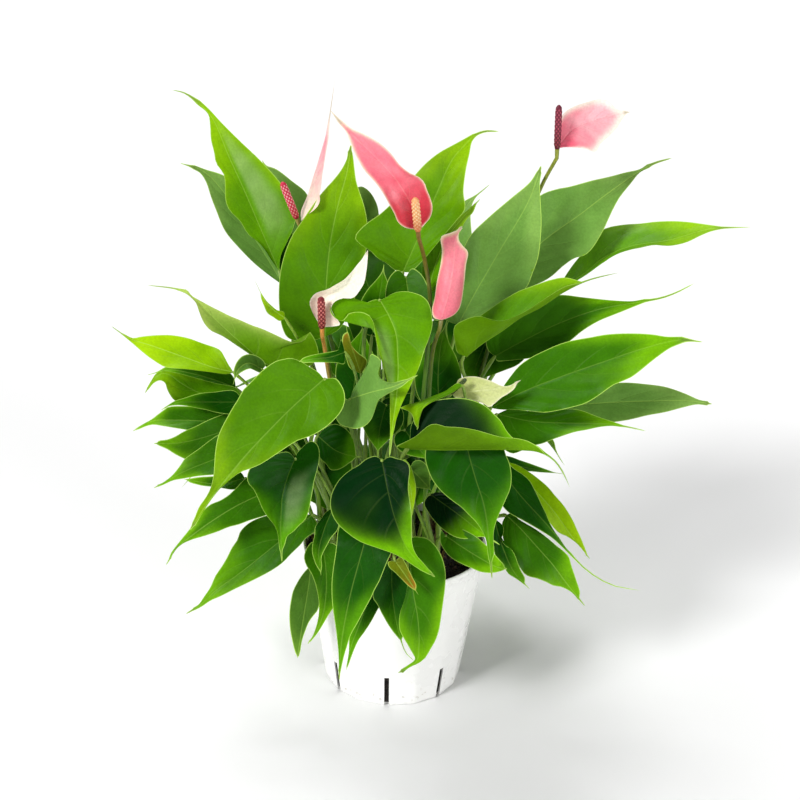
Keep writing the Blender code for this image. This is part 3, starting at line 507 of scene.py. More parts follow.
def leaf(points, width, turn=0, fold=(15, 5), shape="heart", skew=0, end=0.86, wave=0, via=(),
         tone="mid", painted_sheen=0, right=(), left=()):
    """A leaf by its midrib in the photograph. turn: degrees that the upper face turns away from
    the camera. fold: degrees that each half rises, at the base and the tip. skew: how much wider
    the right half is. end: share of the midrib where the blade ends and its drip tip begins,
    which the last pixels of its margins give where they are known.
    via: points that its stalk passes. tone: its greens. sheen: strength of a painted whitish
    highlight, a reflection of the bright surroundings, in the middle of its right half, or of its
    left if negative. right, left: pixels that its margins cross on the right and the left, seen
    from above with the tip ahead."""
    line = curve([seen(*p) for p in points], MIDRIB_POINTS)
    if len(right):
        nearest = [np.linalg.norm(picture(line) - last, axis=1).argmin() for last in (right[-1], left[-1])]
        end = min(np.mean(nearest) / (MIDRIB_POINTS - 1) + PAST_MARGIN, LONGEST_BLADE)
    return dict(line=line, facing=None, width=width, turn=turn,
                fold=fold, shape=shape, skew=skew, end=end, wave=wave, via=via, tone=tone,
                painted_sheen=painted_sheen, margins=(left, right))


def behind(azimuth, radius, height, length, width, droop=0.3, lift=0.12, tone="mid"):
    """A leaf on the far side: its base at a radius and height, arching out and drooping."""
    a = np.radians(azimuth)
    out, up = np.array([np.cos(a), np.sin(a), 0]), np.array([0, 0, 1.0])
    base = radius * out + height * up
    points = [base, base + length * (0.34 * out + lift * up),
              base + length * (0.68 * out + (0.6 * lift - 0.25 * droop) * up),
              base + length * (0.93 * out - droop * up)]
    return dict(line=curve(points, MIDRIB_POINTS), facing=up + 0.35 * out, width=width, turn=0,
                fold=(15, 5), shape="heart", skew=0, end=0.86, wave=0, via=(), tone=tone, painted_sheen=0,
                margins=((), ()))


# Each shoot: where its crown stands on the soil, and the leaves that grow from it.
SHOOTS = {}
SHOOTS["shoot_01"] = (-18, -45), [
    leaf([(370, 522, -80), (361, 555, -87), (351, 592, -94), (343, 632, -99), (340, 658, -101),
        (339.3, 680, -102)], 37, tone="deep",
        right=[(352, 516), (341, 523), (338, 530), (336.5, 544), (335, 556), (333, 569), (331.7, 582),
        (331.7, 595), (332.5, 606), (334, 617), (335.7, 628), (337, 639), (338.3, 652), (338.8, 665)],
        left=[(384, 520), (392, 533), (393, 546), (391, 554), (388.5, 559), (385.5, 566),
        (382.5, 573.5), (379.5, 581), (375, 589), (371, 598), (366.5, 606), (362, 614.5), (357.5, 623),
        (353, 630.5), (349.5, 638), (347.5, 645), (345, 653), (342.5, 663)]),
    leaf([(378, 562, -72), (370, 595, -78), (358, 628, -84), (350, 650, -87), (346.5, 670, -88)], 22,
        tone="deep",
        right=[(362, 570), (355, 595), (351, 620), (349, 640), (348.8, 652), (347.3, 661)],
        left=[(388, 572), (388, 592), (382, 603), (377.5, 610), (373.5, 617.5), (369.5, 624.5),
        (363.5, 633.5), (359, 639.5), (355.5, 646.5), (352.5, 654), (349.5, 662.5)]),
    leaf([(333, 508, -64), (324, 530, -68), (318.5, 552, -71.5), (320, 566, -72.5), (321, 575.5, -73)],
        16, tone="deep",
        right=[(326, 512), (320, 520), (315, 527), (314.5, 535), (312.5, 544), (312, 551),
        (313.7, 559), (316, 565), (318.5, 571)],
        left=[(341, 515), (339, 526), (337, 531), (331, 538), (327, 545.5), (323, 553), (321.3, 559),
        (322, 566)]),
    leaf([(322, 542, -50), (326, 570, -57), (326, 595, -62), (322, 618, -66), (315, 634, -70),
        (307.6, 644, -71)], 24,
        right=[(312, 542), (306.5, 548.5), (304, 557), (306, 565), (311, 573), (315, 583), (318, 596),
        (319, 607), (318.3, 617), (316, 627), (312, 637)],
        left=[(336, 545), (342, 562), (342, 585), (337, 602), (332, 610), (328, 616), (324, 623),
        (319, 631), (313, 639)]),
]
SHOOTS["shoot_02"] = (8, -47), [
    leaf([(408, 542, -84), (413, 590, -95), (418, 620, -101), (419, 645, -105), (416, 662, -108),
        (398, 673, -110)], 31, fold=(12, 5), shape="lance", skew=-0.1,
        right=[(404, 545), (408, 556), (411, 568), (409, 580), (407, 589), (404, 601), (400, 613),
        (399, 623), (400, 631), (406, 642), (412, 652.5), (415, 659), (408, 665)],
        left=[(413, 537), (421, 537), (428, 539), (434, 544), (439, 551), (443, 560), (445.5, 572),
        (445.3, 586), (443.7, 599), (442, 611), (440.5, 622), (439, 630.5), (435.5, 640.5),
        (431, 648.5), (427, 655.5), (423.5, 660), (417, 664), (408, 668)]),
    leaf([(392, 560, -78), (392, 590, -84), (396, 620, -89), (401, 640, -92), (406, 653, -94.5),
        (415, 661.5, -96)], 24, tone="deep", end=0.78,
        right=[(380, 568), (374, 585), (373, 598), (377, 604), (381.5, 613), (386, 621), (391, 629),
        (396, 635.5)],
        left=[(404, 570), (409, 583), (411, 600), (408, 620), (404, 634)]),
    leaf([(395, 561, -97), (403, 572, -101), (412, 585, -105), (418.5, 595, -107)], 10,
        via=[(9, -76, 150)], tone="rusty",
        right=[(388, 562), (389, 567), (395, 572.5), (402, 579.5), (409, 586.5), (415, 591)],
        left=[(401, 557), (405, 562), (409, 570), (412.7, 577.7), (416.3, 585)]),
    leaf([(402, 464, -66), (411, 490, -70), (412, 512, -73), (411, 522, -74)], 14, turn=60,
        fold=(12, 8), tone="lime"),
]
SHOOTS["shoot_03"] = (-6, -28), [
    leaf([(382, 461, -78), (388, 492, -88), (396, 522, -96), (408, 550, -103), (435, 577, -107)], 46,
        tone="inky", fold=(12, 8), skew=0.25,
        right=[(376, 456), (366, 459), (358, 465.5), (351, 469.5), (345, 474), (339, 480), (334, 488),
        (331, 495.5), (330, 503), (331, 511), (334, 518.5), (339, 525.5), (345, 531), (352, 536.5),
        (359, 541), (367, 544.5), (376, 547.5), (384.5, 550.5), (393, 553.5), (401, 557.5), (411, 564),
        (421, 570.5)],
        left=[(390, 456.5), (397, 458.5), (404, 460.5), (408.5, 464), (410, 470), (409, 480),
        (408.5, 490), (410, 501), (411.5, 514), (411.7, 527), (411.8, 539), (413, 547), (416.5, 555),
        (422.5, 562), (429.5, 570)]),
    leaf([(386, 405, -30), (380, 428, -35), (378, 448, -39), (378, 458, -41)], 28, tone="deep"),
    leaf([(405, 430, -38), (415, 444, -42), (425, 456, -46), (431, 463, -48)], 22, tone="deep"),
]
SHOOTS["shoot_04"] = (-38, -32), [
    leaf([(295, 459, -48), (288, 476, -53), (282.5, 496, -59), (281, 520, -67), (281, 541, -71),
        (282, 562, -74)], 43, tone="deep", fold=(20, 12), skew=0.12, painted_sheen=-0.3,
        right=[(288, 452), (270, 456), (256, 462), (249, 470), (247, 478), (248.7, 484), (253, 488.5),
        (258, 498.5), (263.5, 511), (268.5, 518), (274, 525), (276.5, 530), (278, 537), (279, 546)],
        left=[(297, 453), (302, 447.5), (307, 443), (311.5, 441), (316, 443), (319, 448), (319.7, 455),
        (319, 462.5), (317, 471), (314.5, 480), (312.8, 490), (311, 500), (308.5, 512), (305, 520),
        (299.5, 525), (293.5, 531.5), (287.5, 536), (285, 544)]),
    leaf([(311, 566, -42), (308, 590, -50), (303, 620, -57), (300, 640, -59), (297.5, 658, -60)], 20,
        tone="dull", shape="lance",
        right=[(308, 568), (302, 575), (297.5, 582), (293, 591), (291, 600), (289.5, 610.5),
        (289.5, 622), (290.5, 632), (292.5, 642), (294.7, 651)],
        left=[(315, 572), (319, 585), (320, 598), (318, 610), (314.5, 614.5), (309, 622),
        (305.5, 630.5), (302, 641), (300.3, 651)]),
    leaf([(312, 515, -32), (275, 545, -42), (240, 573, -49), (215, 591, -53), (199, 606, -55),
        (186, 614, -55)], 42, turn=-10, skew=0.2,
        right=[(290, 512), (265, 516), (249, 523), (240, 532), (237.5, 539.5), (232, 547.5),
        (227, 557.5), (222, 566), (215, 576.5), (210.5, 587), (204.5, 596), (198.5, 604.5)],
        left=[(318, 528), (305, 539), (301.5, 543.7), (291, 554), (282.5, 562.8), (274, 569),
        (263.5, 575), (249.5, 582), (234, 589.5), (220, 596.5), (210, 601), (202, 606.5)]),
]
SHOOTS["shoot_05"] = (-51, -10), [
    leaf([(276, 488, -34), (240, 504, -42), (212, 521, -50), (190, 537, -54), (177, 548, -56),
        (166, 565, -57)], 32, turn=-10, via=[(-56, -12, 150)],
        right=[(262, 470), (246, 478), (235, 489), (228, 495.5), (220, 500.5), (210, 504.7),
        (200, 514), (190, 528.5), (180, 541), (171, 553)],
        left=[(285, 508), (264, 516), (248, 521), (239, 524.5), (229, 527), (218, 531.5), (204.5, 536),
        (191, 540), (180.5, 545), (173, 552)]),
    leaf([(245, 478, -16), (220, 484, -18), (200, 482, -18), (184, 479, -18)], 12, turn=-20,
        right=[(240, 472), (215, 476), (200, 477), (187, 477.5)],
        left=[(236, 489), (216, 487), (204, 486), (197, 484.5), (190, 482.5)]),
    leaf([(250, 446, -34), (215, 459, -40), (185, 471, -44), (170, 479, -46), (154, 488, -48)], 30,
        turn=-20,
        right=[(235, 432), (219, 434.5), (209.5, 440.5), (199, 448.5), (190.5, 454.5), (184.5, 459),
        (180, 465.7), (171.5, 476), (162, 483)],
        left=[(240, 470), (225, 474), (212, 475), (199, 476), (184, 478.5), (173, 480.5), (163, 485)]),
    leaf([(240, 425, -22), (205, 437, -26), (178, 443, -29), (154, 443.5, -30)], 28, turn=-20,
        right=[(232, 412), (220, 415.3), (206.7, 420.7), (194.7, 426.7), (186.7, 430), (181, 433),
        (174.7, 436.7), (166.7, 439.6), (159, 440.7)],
        left=[(230, 452), (205, 462), (190, 461), (182.5, 458), (174.7, 454), (166.7, 449),
        (159, 445.7)]),
]
SHOOTS["shoot_06"] = (-30, -12), [
    leaf([(324, 379, -50), (293, 406.5, -58), (268, 431.5, -66), (245, 456, -73), (226, 479, -79),
        (209, 501, -84), (190, 530, -88)], 52, fold=(12, 8), skew=0.05, via=[(-56, -37, 185)],
        tone="olive",
        right=[(318, 372), (309, 366.5), (299, 360.5), (290, 358), (284, 359), (276, 361), (268, 366),
        (260, 372.5), (251, 382), (243, 390), (238.5, 398.5), (233, 407), (228.5, 415), (222.5, 426),
        (218.5, 435), (216.5, 443), (215, 454), (214.4, 463), (213.5, 475), (210.5, 488), (206, 497),
        (199, 507), (194, 519)],
        left=[(331, 378), (336, 378.5), (341, 384.5), (344, 391), (345, 398.5), (344, 405), (340, 413),
        (334, 420), (326, 427), (318, 432.3), (308.5, 437), (298, 440.3), (290, 445), (282.5, 450),
        (272, 457), (261, 464), (249.5, 469), (241, 472), (232, 478), (223.5, 485.5), (216.5, 492),
        (211.5, 499), (203, 512), (196, 523)]),
    leaf([(345, 352, -36), (330, 357, -46), (312, 359, -54), (298.5, 361.5, -58)], 18, tone="deep",
        turn=-50, fold=(25, 5),
        right=[(343, 344), (341, 339), (339.5, 346), (338, 350), (334, 351), (323, 353), (312, 355),
        (303, 358)],
        left=[(344, 364), (337, 362.8), (325, 362.5), (312, 362.5), (303, 362.5)]),
    leaf([(243, 402, -18), (220, 402, -20), (195, 402, -23), (175, 403, -26), (161, 410, -28)], 20,
        tone="deep", turn=-20,
        right=[(235, 391), (213, 392), (201, 393), (193, 395), (182.5, 398.5), (174.5, 401),
        (168, 405)],
        left=[(235, 415), (229, 414.4), (217, 412.7), (206.5, 410), (196, 408), (186.5, 406),
        (177, 405.3), (168, 406.5)]),
    leaf([(318, 436, -18), (335, 450, -26), (352, 456, -32), (362, 457, -34)], 30, tone="deep",
        right=[(317, 445), (320, 458), (326, 464), (331, 470), (337, 470), (343, 467.5), (348, 464),
        (353, 460.5)],
        left=[(325, 428), (335, 424), (345, 428), (352, 436), (355, 446)]),
]
SHOOTS["shoot_07"] = (-48, 12), [
    leaf([(284, 374, 2), (268, 365, 0), (240, 342, 0), (212, 316, 3), (195, 299, 6), (180, 290, 8),
        (147, 285, 8)], 34, tone="pale", turn=-20, via=[(-56, 8, 190)],
        right=[(298, 372), (318, 358), (317, 345), (311, 333), (309, 331.5), (307.5, 336),
        (303, 341.5), (293, 342), (285, 339.5), (278, 336), (270.5, 332.5), (262, 328.7), (252, 325.3),
        (240, 320), (230, 316), (220, 311), (210, 306), (199, 300), (192, 296), (187, 290)],
        left=[(276, 372), (266, 366), (258.5, 360.7), (250, 354), (240, 346.5), (230, 340.5),
        (220, 334.7), (212, 331.3), (206.7, 326.7), (202.7, 320.5), (199, 311.5), (196, 303),
        (192, 298.5), (186, 293.5)]),
    leaf([(233, 372, -12), (214, 367.5, -10), (180, 355.5, -7), (150, 345, -5), (130, 338.5, -4),
        (111, 326, -4)], 28, tone="lime", turn=-30,
        right=[(231.5, 369), (228.5, 364.5), (224.5, 357), (221, 351), (216, 347.7), (210, 345.7),
        (200, 342.3), (190, 338.6), (180, 336.3), (170, 335), (160, 335), (150, 335.6), (140, 336.8),
        (133, 338)],
        left=[(228, 374), (210, 372), (185, 369), (165, 367), (156, 362), (148, 356.5), (140, 350),
        (132, 343), (124, 336.5)]),
    leaf([(262, 369, -24), (248, 363, -27), (238, 370, -31), (233, 385, -33)], 12, tone="dull",
        turn=-30, fold=(25, 5)),
    leaf([(243, 398, 0), (220, 397, -1), (198, 392, -2), (180, 382.5, -5), (170, 375, -7),
        (162, 373.5, -8), (155, 378, -9), (145, 393, -9)], 32, tone="olive", turn=-20,
        right=[(236, 388), (215, 383), (193, 377), (180, 373.5), (170, 371.5), (162, 370.5),
        (156, 373.5), (151, 381)],
        left=[(230, 405), (200, 406), (182, 404), (174, 400), (170, 395), (167, 389), (165, 383),
        (160, 380.5), (154, 383), (149.5, 388.5)]),
    leaf([(240, 424, -4), (205, 421, -6), (175, 420, -7), (152, 421, -8), (133, 431, -9)], 24,
        turn=-20,
        right=[(225, 408), (200, 407), (180, 406), (168, 407), (163, 410.5), (157, 415), (152, 419),
        (145, 423), (138, 427)],
        left=[(225, 436), (205, 434), (186.5, 430), (174.5, 428), (162.5, 426), (153, 424.7),
        (146, 426.3), (139, 429.3)]),
    leaf([(236, 388, 14), (215, 380, 14), (190, 373, 14), (170, 370, 14), (147, 375, 14)], 22,
        turn=-20,
        right=[(234, 378), (228, 371.5), (215, 368.5), (200, 366), (190, 365), (178, 364),
        (170.5, 365.3), (165, 367), (160, 370)],
        left=[(225, 394), (205, 393), (190, 388), (178, 381), (169, 375), (162, 371.5)]),
    behind(163, 60, 150, 112, 40),
]
SHOOTS["shoot_08"] = (-36, 30), [
    leaf([(285, 318, 12), (275, 311, 12), (266, 302, 11), (255, 281, 10)], 11, tone="lime",
        right=[(284, 312), (277, 310), (272, 306), (266.7, 301), (262, 293)],
        left=[(280, 321), (273, 317), (267.3, 313), (264, 306), (261, 298)]),
    leaf([(279, 271, 54), (262, 232, 64), (244, 190, 72), (229, 157, 79), (212, 118, 84),
        (197, 102, 86.5), (184, 93, 88), (172, 90, 88)], 38, turn=10, fold=(20, 10), shape="lance",
        skew=0.25, wave=0.02, tone="bright", painted_sheen=0.45,
        right=[(281, 255), (287, 242), (294, 226), (296, 212), (290, 196), (279, 181), (260, 160),
        (240, 141), (220, 121), (210, 110)],
        left=[(270, 258), (265, 250), (258, 242), (248, 234), (240, 221), (236, 217), (230, 211),
        (226, 203), (225, 195), (225, 185), (224, 175), (221, 170), (216, 163), (214, 152), (211, 140),
        (210, 125), (208, 114)]),
    leaf([(284, 286, 82), (262, 250, 93), (238, 214, 102), (222, 190, 107), (203, 171, 110),
        (180, 163, 112)], 34, tone="grey", shape="lance", skew=-0.1,
        right=[(287, 262), (272, 228), (250, 192), (223, 175), (206, 169.5)],
        left=[(270, 276), (255, 264), (240, 249), (225, 231), (216, 210), (211, 197), (206, 182),
        (200, 173)]),
    behind(150, 66, 186, 100, 40, droop=0.2, lift=0.15),
]
SHOOTS["shoot_09"] = (-22, 8), [
    leaf([(325, 337, 26), (326, 290, 34), (330, 245, 42), (338, 205, 50), (347, 172, 58),
        (351, 145, 62)], 64, tone="olive", fold=(10, 5),
        right=[(338, 330), (350, 312), (357, 290), (361, 272), (365, 255), (368, 238), (367, 220),
        (364, 205), (360, 193), (356.5, 182), (354.5, 168), (353, 155)],
        left=[(310, 341), (296, 341), (287, 337), (281.5, 325), (279, 305), (279, 285), (281, 268),
        (286, 250), (293, 234), (300, 224), (308, 212), (320, 195), (327, 187), (335, 178),
        (342, 168.5), (347, 158)]),
    leaf([(361, 374, -22), (354, 354, -22), (348, 335, -23), (345, 318, -24)], 10, tone="rusty",
        right=[(366, 366), (367, 360), (358.5, 353), (352, 346), (349, 335)],
        left=[(350, 368), (346, 358), (342.5, 348), (343, 335)]),
    leaf([(372, 335, 8), (378, 305, 12), (382, 280, 15), (384, 264, 16)], 24, shape="lance",
        tone="deep"),
    leaf([(352, 400, 8), (356, 372, 12), (360, 345, 14), (364, 322, 14)], 28, fold=(12, 5),
        shape="lance", tone="deep"),
]
SHOOTS["shoot_10"] = (-14, 38), [
    leaf([(304, 300, 98), (292, 240, 110), (280, 196, 118), (262, 160, 122)], 34, tone="grey",
        shape="lance",
        right=[(312, 280), (314, 240), (312, 212), (307, 194), (292, 181), (276, 169)],
        left=[(296, 270), (285, 235), (276, 205), (266, 178)]),
    leaf([(366, 290, 76), (366, 255, 82), (364, 225, 86), (360, 200, 91), (354, 182, 94)], 30,
        tone="grey", fold=(10, 5), shape="lance",
        right=[(374, 280), (378, 250), (379, 225), (378, 208), (374, 198), (369, 191), (362, 186.5)],
        left=[(358, 280), (354, 250), (353, 220), (353, 200)]),
    behind(102, 54, 222, 126, 46, droop=0.25, lift=0.16),
    behind(122, 58, 206, 118, 44, droop=0.25, lift=0.16),
    behind(113, 46, 262, 112, 44, droop=0.1, lift=0.22),
]
SHOOTS["shoot_11"] = (4, 14), [
    leaf([(403, 272, 20), (417, 240, 30), (436, 195, 40), (452, 160, 47), (464, 146, 50),
        (474, 136, 52), (485, 131.5, 53), (499, 131.5, 54)], 60, tone="bright", fold=(15, 10),
        skew=-0.1, end=0.82,
        right=[(410, 272), (425, 258), (440, 240), (455, 222), (465, 209), (463.5, 192), (466, 170),
        (469.5, 154), (472, 142)],
        left=[(395, 270), (386, 263), (377, 257.5), (370, 250.5), (360, 244), (355, 238), (357, 233),
        (366, 224), (380, 214), (389, 206), (400, 195), (408, 184), (415, 175), (422, 167),
        (430, 159.5), (440, 152), (450, 146.5), (462, 140)]),
    leaf([(428, 292, 24), (436, 262, 28), (448, 236, 34), (464, 216, 40), (480, 199, 44)], 36,
        tone="bright", turn=45, fold=(20, 10),
        right=[(436, 290), (445, 270), (453, 250), (461, 230), (467, 219), (473, 212.5), (477.5, 205)],
        left=[(423, 284), (422, 268), (425, 250), (428, 239), (433, 232), (441, 225.5), (451, 219.5),
        (460, 215.5), (468, 209.5)]),
    leaf([(406, 277, 8), (410, 310, -4), (408, 345, -14), (406, 365, -20)], 26,
        right=[(398, 270), (391, 275), (386, 287), (386, 310), (392, 335)],
        left=[(412, 268.5), (419, 272), (425, 280), (429, 292), (429, 315), (420, 340)]),
    leaf([(440, 412, 4), (438, 380, 8), (441, 345, 12), (447, 320, 14)], 32, fold=(12, 5),
        shape="lance", tone="deep"),
]
SHOOTS["shoot_12"] = (-6, -8), [
    leaf([(380, 300, -15), (390, 318, -21), (396, 334, -27), (397.5, 352, -34), (398, 372, -44),
        (396.5, 395, -56), (393.5, 418, -70), (391, 440, -81), (389.5, 457, -90)], 56, tone="bright",
        fold=(12, 5), shape="spade", painted_sheen=0.3,
        right=[(375, 299.5), (366, 303), (358, 306.5), (350, 306.5), (353, 299), (346, 296.5),
        (340, 297), (334, 299.5), (331, 303), (329.7, 308), (331, 313.5), (335, 318), (341.5, 321),
        (346, 317), (348, 314), (355, 312), (363, 312.4), (369.6, 315.6), (373, 321), (374.4, 329),
        (376, 340), (378.7, 350), (381.6, 361), (385, 371), (388, 380.5), (389.6, 391), (390, 403),
        (390, 417), (389.6, 430)],
        left=[(385, 298), (390, 295), (394, 293), (400, 291.6), (408, 291.6), (416, 293.5), (422, 296),
        (427.5, 301), (430.5, 308), (432, 316), (432.5, 324), (431, 332), (428, 341), (424.5, 350),
        (421.8, 359), (419, 367.5), (414, 378), (410, 387), (406, 395), (402, 403.5), (399, 411.5),
        (396.5, 418.5), (395, 425), (393.5, 432)]),
    leaf([(350, 399, -38), (372, 392, -52), (395, 386, -62), (418, 375, -66)], 46, tone="grey",
        turn=-10, fold=(25, 5), shape="delta",
        right=[(345, 400), (338, 410), (336, 418), (341, 425), (348, 427.5), (355, 428.7), (363, 427),
        (370, 421), (374, 413), (376, 405), (379, 399.5), (385, 395.5), (393, 391), (402, 386.5)],
        left=[(353, 390), (359, 380), (365, 370), (369, 361), (371, 354), (377, 356.5), (381, 361),
        (379, 368), (378, 374), (380.5, 378.5), (386, 381.5), (393, 382.5), (401, 380.5)]),
]
SHOOTS["shoot_13"] = (24, 24), [
    leaf([(458, 325, 16), (474, 295, 24), (499, 252, 34), (529, 200, 48), (541, 166, 54)], 66,
        tone="grey", fold=(10, 5), skew=0.1, end=0.9,
        right=[(470, 322), (490, 310), (510, 299), (526, 288), (533, 272), (538, 258), (540.5, 240),
        (541.5, 220), (540.5, 200), (540, 182)],
        left=[(444, 318), (447, 300), (452, 280), (460, 257), (470, 236), (489, 217), (510, 199),
        (530, 182), (537.5, 171.5)]),
    leaf([(505, 282, 62), (541, 243, 70), (580, 214.5, 77), (600, 199, 80), (625, 181, 84),
        (642, 169.5, 87), (655, 163, 89), (672, 158, 92)], 58, tone="grey", fold=(8, 5),
        via=[(56, 42, 220)],
        right=[(515, 290), (540, 283), (552, 276), (562, 267), (574, 258.5), (585, 255), (592, 248.6),
        (604, 229), (609, 218), (614, 207.5), (620, 197), (630, 184.5), (640, 172.5)],
        left=[(508, 255), (520, 215), (541, 195), (555, 189.5), (570, 186.5), (592, 180.5),
        (610, 176.5), (625, 172.5), (640, 169)]),
    leaf([(560, 288, 84), (584, 273, 84), (604, 257, 84), (630, 246, 80), (668, 240, 74),
        (710, 229, 66), (752, 227, 60)], 40, tone="bright", turn=60, fold=(12, 5), shape="lance",
        right=[(572, 283), (584, 276), (590, 272), (600, 265), (610, 258), (620, 253), (628, 250.5),
        (640, 247.5), (655, 245), (668, 246), (681, 244), (690, 241), (700, 236), (711, 231.5)],
        left=[(563, 280), (572, 266), (585, 250), (595, 238), (604, 229), (623, 224.7), (640, 223.5),
        (655, 221.7), (673, 221), (689, 222), (704, 224)]),
    behind(58, 56, 220, 124, 46, droop=0.25, lift=0.16),
    behind(80, 56, 206, 128, 48, droop=0.25, lift=0.16),
    leaf([(446, 300, 90), (455, 245, 98), (466, 207, 106), (490, 184, 110)], 34, tone="grey", turn=20,
        fold=(10, 5)),
    behind(66, 46, 256, 114, 44, droop=0.1, lift=0.22),
]
SHOOTS["shoot_14"] = (30, 2), [
    leaf([(464, 356, -8), (480, 343, -9), (500, 330, -8), (520, 316, -6), (540, 306, -4),
        (562, 292, -1), (585, 281, 1), (600, 276.5, 3), (620, 272.5, 5)], 54, tone="olive", turn=70,
        fold=(46, 30), via=[(50, 6, 200)],
        right=[(457, 352), (455, 342), (453.5, 332), (455, 325.5), (462, 321), (472, 317), (480, 316),
        (487, 318), (496, 320.5), (506, 320), (514, 317), (526, 311), (540, 302), (552, 294),
        (566, 286)],
        left=[(462, 342), (468, 325), (480, 316), (490, 309), (500, 302), (510, 296), (519, 291),
        (530, 287), (550, 280), (565, 277.5), (580, 276)]),
    leaf([(495, 356, 24), (525, 340, 19), (560, 323, 15), (600, 309, 11), (640, 302, 7), (662, 298, 5),
        (678, 292, 4), (695, 283, 3)], 48, skew=-0.28, end=0.72,
        right=[(497, 361), (505, 361), (519, 359.5), (531, 358), (546, 354), (555, 350), (564, 345),
        (572, 339.5), (581, 332), (590, 326), (600, 320.5), (620, 312.5), (636, 306)],
        left=[(488, 350), (486, 336), (491, 325), (504, 315), (520, 309), (540, 301), (558, 295),
        (585, 297.5), (615, 300.5), (633, 301)]),
]
SHOOTS["shoot_15"] = (50, 2), [
    leaf([(491, 408, -8), (520, 393, -11), (560, 377, -15), (600, 363, -18), (645, 348, -21),
        (680, 340, -22), (703, 342, -22)], 48, fold=(12, 5), shape="lance",
        right=[(500, 409.5), (520, 410), (530, 411), (545, 412.5), (555, 411), (565, 409), (573, 407),
        (582.5, 404.5), (590, 401), (598, 396), (605, 391), (612.5, 385.5), (620.5, 382), (631, 377.5),
        (640, 371), (650, 362.7), (660, 355), (670.5, 348)],
        left=[(497, 398), (503, 387), (510, 377), (519, 366), (530, 358), (546, 350), (560, 344),
        (572, 340.5), (592, 337), (602, 335), (615, 333.7), (630, 333.3), (644, 333.7), (655, 334.7),
        (666, 336.5)]),
    leaf([(540, 408, 24), (600, 403, 20), (650, 401, 15), (690, 401, 12), (712, 404, 10)], 34,
        tone="grey", fold=(12, 5), shape="lance",
        right=[(550, 418), (580, 424), (605, 423), (628, 420), (647, 415.5), (666, 412), (681, 408),
        (697, 404.5)],
        left=[(548, 395), (580, 388), (605, 384), (625, 382.5), (645, 384), (666, 387), (685, 393.5),
        (700, 400)]),
    leaf([(497, 414, 4), (530, 421, 2), (570, 423, -2), (605, 423.5, -5), (628, 427, -7),
        (646, 431, -8)], 38, turn=20, fold=(12, 5), end=0.9,
        right=[(497, 430), (501, 446), (512, 453.5), (521, 451), (532, 446), (541, 444), (550, 440.5),
        (561, 436.5), (575, 432), (586, 430), (600, 427), (612, 426), (624, 427)],
        left=[(510, 409), (530, 411), (548, 411), (565, 409), (575, 409), (585, 411.5), (595, 415.5),
        (605, 419)]),
    leaf([(500, 460, 4), (520, 466, 4), (545, 471, 4), (564, 474, 4)], 14, turn=60, fold=(12, 5),
        tone="deep"),
]
SHOOTS["shoot_16"] = (14, -22), [
    leaf([(409, 447, -66), (442, 448, -74), (490, 448, -82), (522, 449, -87), (538, 451, -89),
        (552, 458, -91), (562, 470, -92.5), (570, 488, -93)], 64, tone="inky", turn=(68, 66),
        fold=(50, 42), end=0.8,
        right=[(402, 447), (396.5, 446.5), (407, 441), (416, 436), (423, 430), (430, 424.7),
        (437, 424), (445, 426.5), (455, 427), (465, 428), (476, 430), (485, 432.5), (495, 435.5),
        (504, 437.5), (515, 438), (525, 440), (532, 443), (541, 449)],
        left=[(410, 438), (411, 426), (415, 418), (421, 411), (428, 404), (437, 400), (448, 398.5),
        (460, 398), (470, 399.5), (480, 403), (487, 407), (494, 414), (501, 421), (506, 430),
        (512, 437), (522, 443), (536, 445)]),
    leaf([(462, 385, -30), (440, 396, -42), (424, 406, -53), (417, 430, -60)], 26, turn=(-60, -20),
        fold=(20, 10), tone="bright",
        right=[(458, 383), (445, 391), (430, 397), (418, 402), (406, 405), (400, 408.5), (406, 410),
        (411, 413.5), (413, 418), (414.5, 424)],
        left=[(460, 388), (453, 392), (445, 396.5), (436, 400), (428, 404.5), (422, 410), (420, 416),
        (418.5, 423)]),
]
SHOOTS["shoot_17"] = (28, -40), [
    leaf([(464, 430, -62), (469, 455, -68), (476, 480, -75), (484, 505, -81), (489, 540, -86),
        (492, 579, -89)], 51, tone="deep", fold=(12, 8),
        right=[(450, 428), (436, 434), (427, 445), (425, 458), (428, 470), (433, 481), (442, 492),
        (452, 500.5), (461, 507), (469, 515), (476, 522), (482, 531), (486, 540), (487.5, 552)],
        left=[(480, 426), (494, 433), (502, 443), (506, 455), (509.5, 463), (511.5, 475), (510.5, 488),
        (506, 499), (502, 508), (498, 517), (495, 525.5), (493.5, 534), (493.7, 544), (494.3, 554)]),
    leaf([(430, 494, -48), (455, 512, -60), (485, 535, -68), (500, 545, -71)], 42, fold=(12, 5),
        tone="inky",
        right=[(424, 503), (428, 512), (437, 524), (445, 531), (455, 537), (465, 539), (475, 537.5),
        (484, 537)],
        left=[(440, 492), (455, 494), (470, 500), (482, 510), (490, 522)]),
    leaf([(446, 536, -66), (470, 552, -74), (497, 567, -80), (507, 569, -82)], 32, fold=(12, 5),
        right=[(441, 530), (440, 541), (445, 551), (451, 557.5), (461, 563.5), (470, 567.5),
        (481, 572), (492, 573), (500, 571.5)],
        left=[(455, 528), (472, 534), (486, 545), (498, 558), (504, 565)]),
    leaf([(410, 468, -48), (420, 478, -52), (428, 487, -54), (433, 493, -56)], 18, tone="dull"),
]
